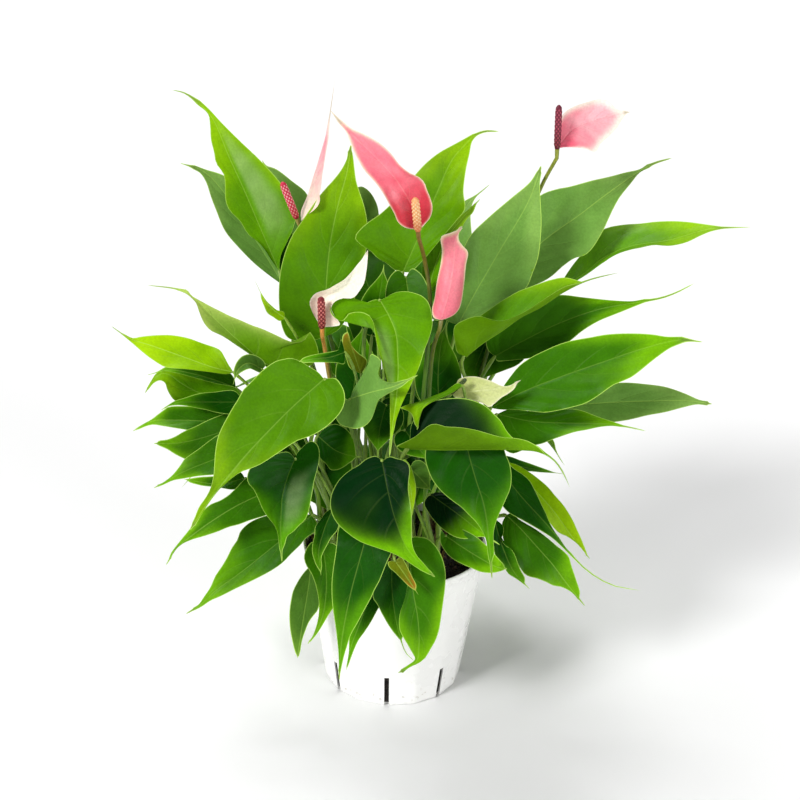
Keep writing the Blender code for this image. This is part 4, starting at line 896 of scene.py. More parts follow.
SHOOTS["shoot_18"] = (45, -22), [
    leaf([(494, 518, -48), (503, 548, -56), (514, 572, -62), (529.5, 589, -65)], 26, tone="deep",
        fold=(12, 5),
        right=[(491, 530), (493, 545), (497, 560), (504, 567.5), (508.5, 574), (514.5, 577.8),
        (520, 581.5)],
        left=[(503, 526), (503.8, 532), (501.5, 539), (505, 545.5), (511, 549), (515, 555),
        (518, 563.5), (521, 570.5), (525, 578)]),
    leaf([(506, 515, -38), (520, 528, -44), (538, 548, -50), (553, 565, -55), (568, 585, -57),
        (585, 606, -58)], 34, fold=(12, 5), skew=0.1, end=0.9,
        right=[(502, 524), (505, 545), (515, 560), (526, 575), (537, 578.5), (546, 582), (553, 585.5),
        (561, 587), (567, 589.5), (574, 594.5)],
        left=[(512, 513), (518, 518.5), (525, 523), (532, 527), (541, 533), (550, 540), (557, 546),
        (564, 551.5), (569, 557), (571, 564), (574, 573), (577, 582), (580, 592)]),
    leaf([(499, 468, -36), (520, 495, -43), (540, 517, -49), (556, 535, -53), (570, 553, -55),
        (588, 571, -56), (612, 585, -57), (641, 590.5, -58)], 34, tone="deep", fold=(12, 5), skew=0.15,
        end=0.7,
        right=[(496, 480), (499, 500), (508, 512), (522, 520), (538, 529), (552, 538), (562, 547)],
        left=[(505, 462), (516, 470), (523, 474.5), (530, 481), (534, 488), (538, 496), (542, 505),
        (546, 513), (550, 523), (555, 532), (561, 540.5), (566, 548)]),
    leaf([(505, 462, -14), (534, 489, -20), (556, 514, -26), (573, 538, -29), (590, 559, -30)], 25,
        tone="lime", fold=(12, 5), skew=0.1,
        right=[(512, 475), (527, 492), (538, 505), (546, 517), (553, 527), (559, 533), (566, 536),
        (573, 540.5), (579, 545.5), (584, 551)],
        left=[(515, 464), (530, 472.5), (540, 480), (548, 487), (555, 495.5), (563, 504.5),
        (569, 513.5), (573.5, 521.5), (577, 529.5), (581, 538), (585, 548)]),
]
SHOOTS["shoot_19"] = (4, 52), [
    behind(90, 62, 172, 122, 48),
    behind(102, 60, 120, 100, 40, droop=0.4),
    behind(76, 60, 122, 104, 40, droop=0.4),
]
SHOOTS["shoot_20"] = (34, 37), [
    behind(38, 64, 150, 108, 40),
    behind(63, 62, 164, 118, 42),
    behind(50, 60, 118, 98, 38, droop=0.4),
]
SHOOTS["shoot_21"] = (-28, 43), [
    behind(142, 58, 120, 100, 38, droop=0.4),
    behind(128, 74, 156, 112, 44),
]
# Small dark leaves deep among the others: the dark green that shows through the gaps.
for shoot, hidden in {
    "shoot_07": leaf([(314, 456, 14), (321, 473, 11), (328, 491, 7), (334, 509, 3), (338, 523, 0)], 46,
        tone="deep"),
    "shoot_08": leaf([(291, 272, 62), (291, 258, 66), (290, 245, 70), (289, 232, 73), (287, 222, 75)],
        19, tone="deep"),
    "shoot_11": leaf([(398, 398, 26), (401, 412, 23), (404, 428, 19), (406, 442, 15), (408, 452, 12)],
        30, tone="deep"),
    "shoot_14": leaf([(428, 462, 4), (423, 476, 1), (418, 490, -2), (414, 505, -5), (412, 516, -8)],
        34, tone="deep", fold=(20, 10)),
    "shoot_20": leaf([(493, 324, 48), (486, 341, 45), (479, 358, 41), (473, 376, 36), (469, 393, 32)],
        60, tone="deep"),
}.items():
    SHOOTS[shoot][1].append(hidden)


def midrib_frames(spec):
    """Tangent, side and upper normal along the midrib. The normal faces the camera at one third
    of the length, is carried along without twist, and is then turned by the leaf's own turn."""
    line = spec["line"]
    tangent = unit(np.gradient(line, axis=0))
    k = len(line) // 3
    facing = unit(EYE - line[k]) if spec["facing"] is None else spec["facing"]
    normal = np.empty_like(line)
    normal[k] = unit(facing - (facing @ tangent[k]) * tangent[k])
    for order in (range(k + 1, len(line)), range(k - 1, -1, -1)):
        last = normal[k]
        for i in order:
            last = unit(last - (last @ tangent[i]) * tangent[i])
            normal[i] = last
    side = np.cross(tangent, normal)
    first, final = spec["turn"] if isinstance(spec["turn"], tuple) else (spec["turn"],) * 2
    a = np.radians(np.linspace(first, final, len(line)))[:, None]
    return tangent, side * np.cos(a) + normal * np.sin(a), normal * np.cos(a) - side * np.sin(a)


def ease(x, low, high):
    """Smooth step from 0 to 1 as x goes from low to high."""
    t = np.clip((x - low) / (high - low), 0, 1)
    return t * t * (3 - 2 * t)


# How a blade's rows, veins, fold, drip tip and traced margins run, as shares and powers.
VEIN_SWEEP = 0.17
VEIN_CURVE = 1.2
ROW_SWEEP = 1.3
CROWDING = 1.35
TIP_BEGINS = 8 / 9
TIP_HALF = 0.016
TIP_BLUNTNESS = 0.4
FOLD_ROUNDING = 0.06
MARGIN_PULL = 1.2
NEAR_TIP_PX = 2


def margin_shift(old, pixels, share):
    """How far a margin moves so that it crosses the given pixels. Each of its points keeps its
    distance from the camera's plane and its share of the margin's length in the picture, from
    the base to where the drip tip begins; the tip stays."""
    deep = (old - EYE) @ FORWARD
    blade = share <= TIP_BEGINS
    seen_at, tip = picture(old)[blade], picture(old)[-1]
    pixels = np.array(pixels)
    before_tip = np.linalg.norm(pixels - tip, axis=1) > np.linalg.norm(seen_at[-1] - tip) + NEAR_TIP_PX
    pixels = pixels[before_tip]
    run = np.concatenate([[0], np.cumsum(np.linalg.norm(np.diff(seen_at, axis=0), axis=1))])
    knots = np.vstack([seen_at[:1], pixels, seen_at[-1:]])
    path = curve(np.column_stack([knots, np.zeros(len(knots))]), 300)[:, :2]
    at = run / run[-1] * (len(path) - 1)
    x, y = (np.interp(at, np.arange(len(path)), path[:, k])[:, None] for k in (0, 1))
    ways = sight_line(x, y)
    shift = np.zeros_like(old)
    shift[blade] = EYE + ways * deep[blade][:, None] - old[blade]
    return shift


def blade_band(spec, seed, rows, across, thick=0.4, rib=0.9, rib_width=0.9, veins=9,
               quilt=0.25, ripple=0.6, ripple_length=26, finish=(0, 1)):
    """A blade as one closed band: each ring goes across the upper face and back across the lower.
    A row starts at its vein's root on the midrib and sweeps out to the outline; folding lifts a
    half by its distance from the midrib, and cupping bends it along an arc, as in the solid. On
    top of that the margin ripples by a sine that grows towards the edge, the blade puffs up
    between its side veins by a cosine along the rows, and it sinks along the midrib, under which
    the rib stands out."""
    rng = np.random.default_rng(seed)
    line, width = spec["line"], spec["width"]
    tangent, side, normal = midrib_frames(spec)
    length = np.linalg.norm(np.diff(line, axis=0), axis=1).sum()
    share = np.linspace(0, 1, rows + 1)
    outline = smooth(OUTLINES[spec["shape"]], share)
    root = smooth(np.array(VEIN_ROOTS)[:, None], share)[:, 0]
    reach = np.interp(outline[:, 0], [-1, 0, OUTLINE_TIP, 1], [-1, 0, spec["end"], 1])
    root = np.interp(root, [0, OUTLINE_TIP, 1], [0, spec["end"], 1])
    t = np.linspace(-1, 1, across + 1)
    v = np.sign(t) * np.abs(t)**CROWDING
    along = root[:, None] + (reach - root)[:, None] * np.abs(v)**ROW_SWEEP
    to_tip = np.clip((1 - share) / (1 - TIP_BEGINS), 0, 1)
    drip = np.where(to_tip < 1, TIP_HALF * to_tip**TIP_BLUNTNESS, 0)
    half = np.maximum(outline[:, 1], drip)[:, None] * width * (1 + spec["skew"] * np.sign(v))
    sideways = half * v
    place = np.clip(along, 0, 1)

    def at(field):
        steps = np.arange(len(line))
        return np.stack([np.interp(place * (len(line) - 1), steps, field[:, k]) for k in range(3)], -1)

    def line_at(shares):
        steps = np.linspace(0, 1, len(line))
        return np.stack([np.interp(shares, steps, line[:, k]) for k in range(3)], -1)

    def ring(above, below):
        return np.concatenate([above, below[:, -2:0:-1]], axis=1)

    def both(field):
        return ring(field, field)

    t, s, n = unit(at(tangent)), unit(at(side)), unit(at(normal))
    centre = at(line) + t * (np.minimum(along, 0) * length)[..., None]
    # Fold along the midrib, then curl along an arc.
    fold = np.radians(spec["fold"][0] + (spec["fold"][1] - spec["fold"][0]) * place)
    far = np.abs(sideways)
    rounding = FOLD_ROUNDING * width
    lift = np.sin(fold) * (np.sqrt(far**2 + rounding**2) - rounding)
    cup = spec.get("cup", (0, 0))
    bend = np.radians(cup[0] + (cup[1] - cup[0]) * place) / (0.5 * width) + 1e-9
    arc = bend * far
    lift = lift + (1 - np.cos(arc)) / bend
    # Three waves to a blade, finer ripples at the margin, and a slow sway.
    full = np.clip(2 * half / width, 0, 1)
    wave = np.sin(6 * np.pi * along + np.where(v > 0, 0.9, 0)) * full
    lift = lift + spec["wave"] * width * v**2 * wave
    size = np.clip(width / 40, 0.4, 1.3)
    phase = rng.uniform(0, 2 * np.pi, 4)
    run = along * length / ripple_length * 2 * np.pi
    wave = np.sin(run + np.where(v > 0, phase[0], phase[1])) + 0.6 * np.sin(1.7 * run + phase[2])
    lift = lift + ripple * size * np.abs(v)**3 * wave * full * ease(share, 0.02, 0.2)[:, None]
    lift = lift + 0.7 * size * np.sin(run / 3 + phase[3]) * np.abs(v) * full
    # Puffed between the side veins and sunk along the midrib.
    puff = np.abs(v) * (1 - np.abs(v)) * 4 * full
    vein = share[:, None] - VEIN_SWEEP * np.abs(v)**VEIN_CURVE
    lift = lift - quilt * size * puff * np.cos(2 * np.pi * veins * vein)
    lift = lift - 0.35 * size * np.exp(-(far / (0.7 * rib_width))**2) * full
    out = sideways * np.cos(fold) * np.sinc(arc / np.pi)
    upper = centre + s * out[..., None] + n * lift[..., None]
    # Each half is drawn out to its traced margin, the more so the nearer the margin.
    grown = np.ones_like(half)
    for hand, column, pixels in zip((-1, 1), (0, -1), spec["margins"]):
        if len(pixels):
            shift = margin_shift(upper[:, column], pixels, share)
            size_before = np.linalg.norm(upper[:, column] - line_at(root), axis=1) + 1
            mine = np.where(hand * v > 0, np.abs(v)**MARGIN_PULL, 0)
            upper = upper + shift[:, None] * mine[None, :, None]
            size_after = np.linalg.norm(upper[:, column] - line_at(root), axis=1) + 1
            grown = np.where(hand * v > 0, (size_after / size_before)[:, None], grown)

    # The lower face, with the rib under the midrib.
    ends = np.clip(np.minimum(share, 1 - share) * 25, 0, 1)[:, None]
    taper = (1 - 0.8 * share)[:, None]
    depth = thick * (1 - v**8) + rib * size * taper * np.exp(-(far / (rib_width * taper + 0.05))**2)
    lower = upper - n * (depth * ends * np.minimum(1, 0.25 + half))[..., None]
    kinds = np.repeat(finish, [across, across])
    far = far * grown
    edge = half * grown * (1 - np.abs(v)) * np.ones_like(lift)
    return (skin(ring(upper, lower), finish=kinds[None, :]),
            dict(along=both(place), v=both(v * np.ones_like(lift)),
                 row=both(share[:, None] + 0 * lift), edge=both(edge), rib=both(far)))


DRIP_TIP = paint(94, 104, 62)
# Painted highlight: the whitish green of the bright surroundings reflected in a glossy leaf, put into the
# leaf's colour, with faint stripes along its rows.
PAINTED_SHEEN = paint(172, 200, 130)
MARGIN_TONE_DEPTH = 0.16
MARGIN_TONE = 0.42
TIP_TONE = 1.05
PAINTED_SHEEN_STRIPES = 14


def leaf_looks(spec, at, seed):
    """Colours of a leaf: its heart's tone passes into its margin's tone towards the tip and the
    edge, unevenly, by a smooth step. One half may get a painted whitish highlight in its middle,
    standing in for the bright surroundings reflected in its gloss, and the drip tip is greyer.
    pale gives how light midrib, margin and side veins are."""
    rng = np.random.default_rng(seed + 500)
    heart, tip, spread = TONES[spec["tone"]]
    flat = np.stack([at["along"] * 3, at["v"]], -1)
    patch = swell(flat, 1.3, 0.09, seed)
    closeness = np.exp(-at["edge"] / (MARGIN_TONE_DEPTH * spec["width"]))
    closeness = closeness * (0.3 + 0.7 * ease(at["along"], 0.05, 0.5))
    reach = TIP_TONE * at["along"]**1.5 + MARGIN_TONE * closeness + patch * (1.3 - spread)
    share = ease(reach, 0.78 - 0.75 * spread, 1.35 - 0.5 * spread)
    shade = rng.uniform(0.94, 1.06)
    tone = (heart + (tip - heart) * share[..., None]) * shade
    # Painted highlight: one half is whitened in its middle, faintly striped along the rows.
    near = np.sign(spec["painted_sheen"]) * at["v"]
    painted_shine = ease(near, 0.05, 0.25) * ease(-near, -0.9, -0.5) * ease(at["along"], 0.1, 0.3)
    stripes = np.cos(2 * np.pi * PAINTED_SHEEN_STRIPES * at["row"])
    painted_shine = painted_shine * ease(-at["along"], -0.8, -0.5) * (0.88 + 0.12 * stripes)
    tone = tone + (PAINTED_SHEEN - tone) * abs(spec["painted_sheen"]) * painted_shine[..., None]
    drip = ease(at["along"], spec["end"] - 0.04, 0.6 + 0.4 * spec["end"])[..., None]
    tone = tone + (DRIP_TIP - tone) * 0.8 * drip
    rib = rng.uniform(0.25, 0.5) * (0.2 + 2 * heart[1])
    side_veins = rng.uniform(0.55, 0.95), rng.uniform(0.2, 0.6) * min(1, 0.3 + 2.5 * heart[1])
    pale = np.array([rib, *side_veins])
    place = np.stack([at["along"], at["v"], at["row"]], -1)
    return dict(tone=tone, pale=np.broadcast_to(pale, tone.shape), place=place,
                edge=at["edge"], rib=at["rib"])


def stalk_line(spec, crown, count):
    """The leaf stalk: up out of the crown, leaning towards the blade, and to its base."""
    base, t = spec["line"][0], midrib_frames(spec)[0][2]
    start = np.array([*crown, SOIL_TOP + 3.0])
    if len(spec["via"]):
        points = [start] + [np.array(p, float) for p in spec["via"]]
        before = base - 6 * unit(0.6 * unit(base - points[-1]) + 0.5 * t)
        return curve(points + [before, base], count)
    span = base - start
    reach = np.linalg.norm(span)
    lead = unit(np.array([0.35 * span[0], 0.35 * span[1], max(abs(span[2]), 60.0)]))
    arrive = unit(0.75 * unit(span) + 0.55 * t)
    a, b, c, d = start, start + 0.42 * reach * lead, base - 0.30 * reach * arrive, base
    s = np.linspace(0, 1, count)[:, None]
    return (1 - s)**3 * a + 3 * (1 - s)**2 * s * b + 3 * (1 - s) * s**2 * c + s**3 * d


def round_bar(line, radii, sides, lumps=0.0, seed=0):
    """Rings square to a line, each ring's start carried without twist, with a closed point at
    each end. lumps makes the radius uneven by that share."""
    tangent = unit(np.gradient(line, axis=0))
    across = unit(np.cross(tangent[0], [0, 1, 0.3]))
    starts = []
    for way in tangent:
        across = unit(across - (across @ way) * way)
        starts.append(across)
    starts = np.array(starts)
    a = np.arange(sides) * 2 * np.pi / sides
    ways = starts[:, None] * np.cos(a)[:, None] + np.cross(tangent, starts)[:, None] * np.sin(a)[:, None]
    radii = np.broadcast_to(np.asarray(radii, float).reshape(len(line), -1), (len(line), sides))
    if lumps:
        radii = radii * (1 + lumps * swell(line[:, None] + radii[..., None] * ways, 4, 1.0, seed))
    rings = line[:, None] + radii[..., None] * ways
    cap = [np.broadcast_to(line[k], rings[:1].shape) for k in (0, -1)]
    return np.concatenate([cap[0], rings, cap[1]])


def bar_share(line, sides):
    """Share of the way along a round bar, for each of its points."""
    share = np.linspace(0, 1, len(line))
    return np.repeat(np.concatenate([[0], share, [1]])[:, None], sides, axis=1)


STALK_ROWS = 30
STALK_SIDES = 10
STALK_GREEN = paint(136, 176, 60)
STALK_FOOT = paint(120, 92, 52)
BIG_LEAF = 30


def stalk_band(spec, crown, seed):
    """A leaf stalk: round, a little thinner upwards, swollen into a knee just below its blade.
    Its green is lighter than the blade's, reddish brown near the crown."""
    rng = np.random.default_rng(seed + 900)
    big = spec["width"] >= BIG_LEAF
    line = stalk_line(spec, crown, STALK_ROWS)
    tangent = midrib_frames(spec)[0]
    arrive = unit(line[-1] - line[-2])
    line = np.vstack([line, line[-1] + 0.2 * arrive + 0.4 * tangent[0]])
    share = np.linspace(0, 1, len(line))
    radii = np.interp(share, [0, 1], (1.75, 1.15) if big else (1.35, 0.9))
    radii = radii * (1 + 0.2 * np.exp(-((share - 0.93) / 0.03)**2))
    radii[-2:] *= [0.8, 0.4]
    green = STALK_GREEN * rng.uniform(0.8, 1.15)
    green = green + (TONES[spec["tone"]][0] - paint(60, 130, 20)) * 0.3
    at = bar_share(line, STALK_SIDES)[..., None]
    tone = green + (STALK_FOOT - green) * ease(-at, -0.22, 0.02) * 0.8
    tone = tone + (paint(150, 176, 70) - tone) * ease(at, 0.9, 1.0) * 0.6
    return skin(round_bar(line, radii, STALK_SIDES), finish=2, tone=np.clip(tone, 0, 1))


SHEATHS = 4
CROWN_SIDES = 18
CROWN_LEVELS = np.array([SOIL_TOP - HOLE_DEPTH, 92, 98, 100, 102, 104.5, 107, 109.0])
SHEATH_FOOT = 97.5


def crown_bands(crown, seed):
    """A shoot's crown: a ridged stump, wrapped in thin brown sheaths that split off as pointed
    strips. A sheath is a curled strip whose width goes to nothing by a sine."""
    rng = np.random.default_rng(seed + 1300)
    line = np.stack([crown[0] + 0 * CROWN_LEVELS, crown[1] + 0 * CROWN_LEVELS, CROWN_LEVELS], -1)
    ridge = 1 + 0.06 * np.sin(np.arange(CROWN_SIDES) * 2 * np.pi * 6 / CROWN_SIDES)
    radii = np.interp(CROWN_LEVELS, [85, 102, 105, 109], [3.7, 3.7, 3.2, 1.8])[:, None] * ridge
    stump = round_bar(line, radii, CROWN_SIDES, 0.05, seed)
    bands = [skin(stump, finish=3, tone=paint(110, 98, 52))]
    for k in range(SHEATHS):
        a = k * 2.4 + rng.uniform(0, 0.8)
        tall = rng.uniform(9, 24)
        u, v = np.linspace(0, 1, 12)[:, None], np.linspace(-1, 1, 7)[None, :]
        wide = 3.0 * np.sin(np.pi * (0.12 + 0.88 * u)) + 0.02
        r = 3.9 + 3.2 * u**2 * rng.uniform(0.4, 1.3)
        turn = a + v * wide / 4.2
        x, y = crown[0] + r * np.cos(turn), crown[1] + r * np.sin(turn)
        outer = np.stack([x, y, SHEATH_FOOT + tall * u + 0 * v], -1)
        inward = np.stack([np.cos(turn), np.sin(turn), 0 * turn], -1) * 0.25
        points = np.concatenate([outer, (outer - inward)[:, -2:0:-1]], axis=1)
        points = np.concatenate([points[:1] * 0 + points[:1].mean(1, keepdims=True), points,
                                 points[-1:] * 0 + points[-1:].mean(1, keepdims=True)])
        brown = paint(150, 116, 70) * rng.uniform(0.6, 1.1)
        bands.append(skin(points, finish=3, tone=brown))
    return bands


def blade_marks():
    """Node group for every blade: mottles its tone, lightens midrib, margin and side veins, and
    gives the height of veins and of the fine net between them."""
    group = bpy.data.node_groups.new("blade marks", "ShaderNodeTree")
    for name, kind in (("Tone", "Color"), ("Light", "Color"), ("Pale", "Vector"), ("Place", "Vector"),
                       ("Edge", "Float"), ("Rib", "Float"), ("Veins", "Float"), ("Mottle", "Float")):
        group.interface.new_socket(name=name, in_out="INPUT", socket_type="NodeSocket" + kind)
    for name, kind in (("Color", "Color"), ("Height", "Float"), ("Soft", "Float")):
        group.interface.new_socket(name=name, in_out="OUTPUT", socket_type="NodeSocket" + kind)
    given = group.nodes.new("NodeGroupInput").outputs
    pale = add_node(group, "SeparateXYZ", given["Pale"]).outputs
    place = add_node(group, "SeparateXYZ", given["Place"]).outputs
    where = add_node(group, "TexCoord").outputs["Object"]
    patches = span(group, noise(group, 55, 3, where), 0.3, 0.7, 0.0, 1.0)
    patches = maths(group, "SUBTRACT", 1.0, maths(group, "MULTIPLY", patches, given["Mottle"]))
    dark = blend(group, 1.0, given["Tone"], (0.78, 0.82, 0.76), "MULTIPLY")
    tint = blend(group, patches, dark, given["Tone"])
    speckle = span(group, noise(group, 700, 2, where), 0.35, 0.65, 0.94, 1.05)
    grey = add_node(group, "CombineXYZ", speckle, speckle, speckle).outputs[0]
    tint = blend(group, 1.0, tint, grey, "MULTIPLY")
    across = maths(group, "ABSOLUTE", place[1])
    sweep = maths(group, "MULTIPLY", maths(group, "POWER", across, VEIN_CURVE), VEIN_SWEEP)
    turn = maths(group, "MULTIPLY", maths(group, "SUBTRACT", place[2], sweep), given["Veins"])
    crest = maths(group, "COSINE", maths(group, "MULTIPLY", turn, 2 * np.pi))
    side_vein = span(group, crest, 0.95, 1.0)
    outward = span(group, across, 0.85, 0.2)
    side_vein = maths(group, "MULTIPLY", side_vein, outward)
    cells = add_node(group, "TexVoronoi", where, None, 420.0, feature="DISTANCE_TO_EDGE").outputs[0]
    net = span(group, cells, 0.09, 0.0)
    midrib = span(group, given["Rib"], 0.5, 0.1)
    margin = span(group, given["Edge"], 0.6, 0.2)
    light = maths(group, "MULTIPLY", side_vein, maths(group, "MULTIPLY", pale[2], 0.14))
    light = maths(group, "MAXIMUM", light, maths(group, "MULTIPLY", midrib, pale[0]))
    light = maths(group, "MAXIMUM", light, maths(group, "MULTIPLY", margin, pale[1]))
    height = maths(group, "MULTIPLY", side_vein, -0.3)
    height = maths(group, "SUBTRACT", height, maths(group, "MULTIPLY", net, 0.05))
    height = maths(group, "ADD", height, maths(group, "MULTIPLY", noise(group, 160, 3, where), 0.6))
    made = group.nodes.new("NodeGroupOutput").inputs
    for socket, value in (("Color", blend(group, light, tint, given["Light"])), ("Height", height),
                          ("Soft", noise(group, 75, 3, where))):
        group.links.new(value, made[socket])
    return group


BLADE_MARKS = blade_marks()


def blade_finish(name, light, veins, gloss, fade=None, mottle=1.0, **levels):
    """A leaf or spathe face: the blade marks over its tone, which fades towards a colour if one is
    given, with roughness between the two values of gloss. mottle: how strong its patches are."""
    material, tree, shader = new_finish(name, **levels)
    tone = look(tree, "tone")
    if fade is not None:
        tone = blend(tree, fade[0], tone, fade[1])
    marks = tree.nodes.new("ShaderNodeGroup")
    marks.node_tree = BLADE_MARKS
    marks.inputs["Light"].default_value = (*light, 1)
    marks.inputs["Veins"].default_value = veins
    marks.inputs["Mottle"].default_value = mottle
    tree.links.new(tone, marks.inputs["Tone"])
    for mark in ("Pale", "Place", "Edge", "Rib"):
        tree.links.new(look(tree, mark.lower()), marks.inputs[mark])
    tree.links.new(marks.outputs["Color"], shader.inputs["Base Color"])
    soft = span(tree, marks.outputs["Soft"], 0.3, 0.7, *gloss)
    tree.links.new(soft, shader.inputs["Roughness"])
    raise_surface(tree, shader, marks.outputs["Height"], 0.0004)
    return material


def stalk_finish(name, roughness):
    """Stalks and stems: the tone with fine lengthwise streaks and a few brown flecks."""
    material, tree, shader = new_finish(name, Roughness=roughness)
    where = add_node(tree, "Mapping", add_node(tree, "TexCoord").outputs["Object"], None, None,
                     (1.0, 1.0, 0.12)).outputs[0]
    streak = span(tree, noise(tree, 900, 3, where), 0.35, 0.65)
    dark = blend(tree, 1.0, look(tree, "tone"), (0.66, 0.72, 0.6), "MULTIPLY")
    tint = blend(tree, streak, dark, look(tree, "tone"))
    fleck = span(tree, noise(tree, 420, 3), 0.66, 0.74, 0.0, 0.55)
    tree.links.new(blend(tree, fleck, tint, paint(112, 78, 40)), shader.inputs["Base Color"])
    raise_surface(tree, shader, noise(tree, 700, 3, where), 0.0003)
    return material


LEAF_VEINS = 9
BIG_GRID = (60, 30)
SMALL_GRID = (44, 20)
SEEDS_PER_SHOOT = 40
MARGIN_LIGHT = paint(180, 220, 96)
shoot_finishes = [
    blade_finish("leaf_upper", MARGIN_LIGHT, LEAF_VEINS, (0.34, 0.5), Specular_IOR_Level=0.07),
    blade_finish("leaf_under", MARGIN_LIGHT, LEAF_VEINS, (0.5, 0.6), fade=(0.7, paint(108, 154, 8)),
                 Specular_IOR_Level=0.05),
    stalk_finish("leaf_stalk", 0.42),
    stalk_finish("crown_sheath", 0.75),
]
for number, (shoot, (crown, leaves)) in enumerate(SHOOTS.items()):
    skins = crown_bands(crown, SEEDS_PER_SHOOT * number)
    for k, spec in enumerate(leaves):
        seed = SEEDS_PER_SHOOT * number + k
        rows, across = BIG_GRID if spec["width"] >= BIG_LEAF else SMALL_GRID
        band, at = blade_band(spec, seed, rows, across, veins=LEAF_VEINS)
        band["looks"] = leaf_looks(spec, at, seed)
        skins += [band, stalk_band(spec, crown, seed)]
    add_piece("leaves_%02d" % (number + 1), skins, shoot_finishes, shoot, sharp=60)

# Flowers: each has a round green stem out of the soil, a spathe, which is one coloured leaf that
# hoods the spadix, and the spadix itself, a fleshy spike set all over with tiny beads in spirals.


def bloom(points, width, cup, spadix_tip, spadix_radius, offset, way, foot, turn=0, skew=0,
          end=0.86, right=(), left=()):
    """A flower: its spathe as a blade with curled sides (cup: degrees at the base and the tip),
    the spadix's tip, the pixels that the stem passes, and where it stands in the soil."""
    spathe = leaf(points, width, turn=turn, fold=(0, 0), shape="spathe", skew=skew, end=end,
                  right=right, left=left)
    spathe["cup"] = cup
    return dict(spathe=spathe, spadix_tip=seen(*spadix_tip), spadix_radius=spadix_radius,
                offset=offset, way=[seen(*p) for p in way], foot=foot)


FLOWERS = {
    "flower_1": bloom([(417, 229, -30), (411, 205, -37), (400, 185, -38), (383, 165, -35),
        (365, 147, -31), (350, 133, -27), (330, 110, -22)], 28, cup=(65, 15),
        spadix_tip=(415, 198, -46), spadix_radius=2.5, offset=2.6,
        way=[(425, 262, -10), (430, 300, -6)], foot=(12, -4), end=0.84,
        right=[(421, 228), (426, 223), (430.5, 217), (432.5, 208), (431, 200), (427, 190), (424, 182),
        (418, 176.5), (410, 173), (400, 165), (390, 152), (380, 143), (372, 138), (360, 132),
        (352, 128.5)],
        left=[(411, 229), (404, 227), (398, 222), (394, 213), (390, 206), (384, 195), (378, 186),
        (372, 179), (364, 170), (358, 160), (353, 150), (350, 142), (346, 132)]),
    "flower_2": bloom([(441, 320, -30), (449, 293, -26), (454, 262, -20), (455, 240, -17),
        (462, 226, -15)], 24, turn=180, cup=(85, 60), spadix_tip=(446, 290, -20), spadix_radius=2,
        offset=2.6,
        way=[(433, 350, -18), (429, 395, -14)], foot=(20, -12),
        right=[(434, 318), (432, 310), (434.5, 299), (437, 281), (441, 262), (442, 250), (441, 237),
        (450, 233), (457, 230)],
        left=[(448, 318), (455, 314), (460, 307), (464, 285), (466, 265), (468, 252), (463, 246),
        (459, 240), (459, 233)]),
    "flower_3": bloom([(323, 327, -20), (321, 306, -21), (331, 293, -20), (347, 283, -17),
        (360, 270, -14), (368, 250, -12)], 20, cup=(60, 40), spadix_tip=(321, 297, -28),
        spadix_radius=2.5, offset=3,
        way=[(324, 345, -14), (332, 390, -6)], foot=(-22, -6),
        right=[(333, 326.5), (340, 324.5), (334, 315), (331, 309), (334, 302.5), (342, 298.5),
        (353, 298), (360, 290), (364, 283), (366.5, 270), (367.5, 260)],
        left=[(316, 319), (310.5, 307), (309.6, 302), (314.5, 294), (328, 289), (335, 285),
        (344, 279.6), (351, 272.4), (357, 265), (362, 259)]),
    "flower_4": bloom([(301, 221, 53), (313, 188, 57), (325, 140, 63), (335, 79, 71)], 22,
        turn=(76, 80), cup=(20, 5), spadix_tip=(282, 182, 50), spadix_radius=2.5, offset=3.3,
        way=[(304, 245, 49), (320, 300, 34)], foot=(-22, 24), end=0.7,
        right=[(306, 216), (314, 210), (318, 205.5), (320, 200), (319.5, 194.7), (321, 188),
        (322.5, 174), (324, 165), (326.3, 150), (328.4, 139.5)],
        left=[(301, 212), (303, 206), (307.7, 194.7), (312.7, 178), (318.4, 159.6), (321.3, 149.6),
        (325, 137)]),
    "flower_5": bloom([(556, 150, 50), (572, 130, 53), (594, 120, 57), (612, 115, 60), (630, 112, 62)],
        30, cup=(35, 10), skew=-0.12, spadix_tip=(559, 105, 44), spadix_radius=2.3, offset=2.8,
        way=[(543, 183, 58), (532, 210, 58)], foot=(38, 20),
        right=[(560, 146.3), (575, 147.8), (585, 149), (595.5, 151.5), (601, 143.3), (606.5, 138.5),
        (611.5, 133.5), (617.5, 127.3), (620.5, 122)],
        left=[(556, 140), (557.5, 130), (560, 120), (564, 113), (570, 108.5), (577, 105.3),
        (585, 102.8), (592, 100.7), (600, 99.3), (608, 101), (614, 106), (619, 110)]),
    "flower_6": bloom([(452, 393, -14), (480, 390, -19), (508, 387, -23), (521, 380, -24)], 18,
        cup=(30, 10), skew=-0.1, spadix_tip=(466, 379, -23), spadix_radius=1.5, offset=3.3,
        way=[(447, 405, -12)], foot=(22, 2),
        right=[(455, 397.5), (465, 398), (475, 400.7), (484, 404), (489, 407), (494, 404), (501, 398),
        (508, 393.8), (514, 389)],
        left=[(455, 387), (458.5, 379.6), (465, 377), (475, 376.5), (490, 380.5), (503, 386),
        (511, 385)]),
}
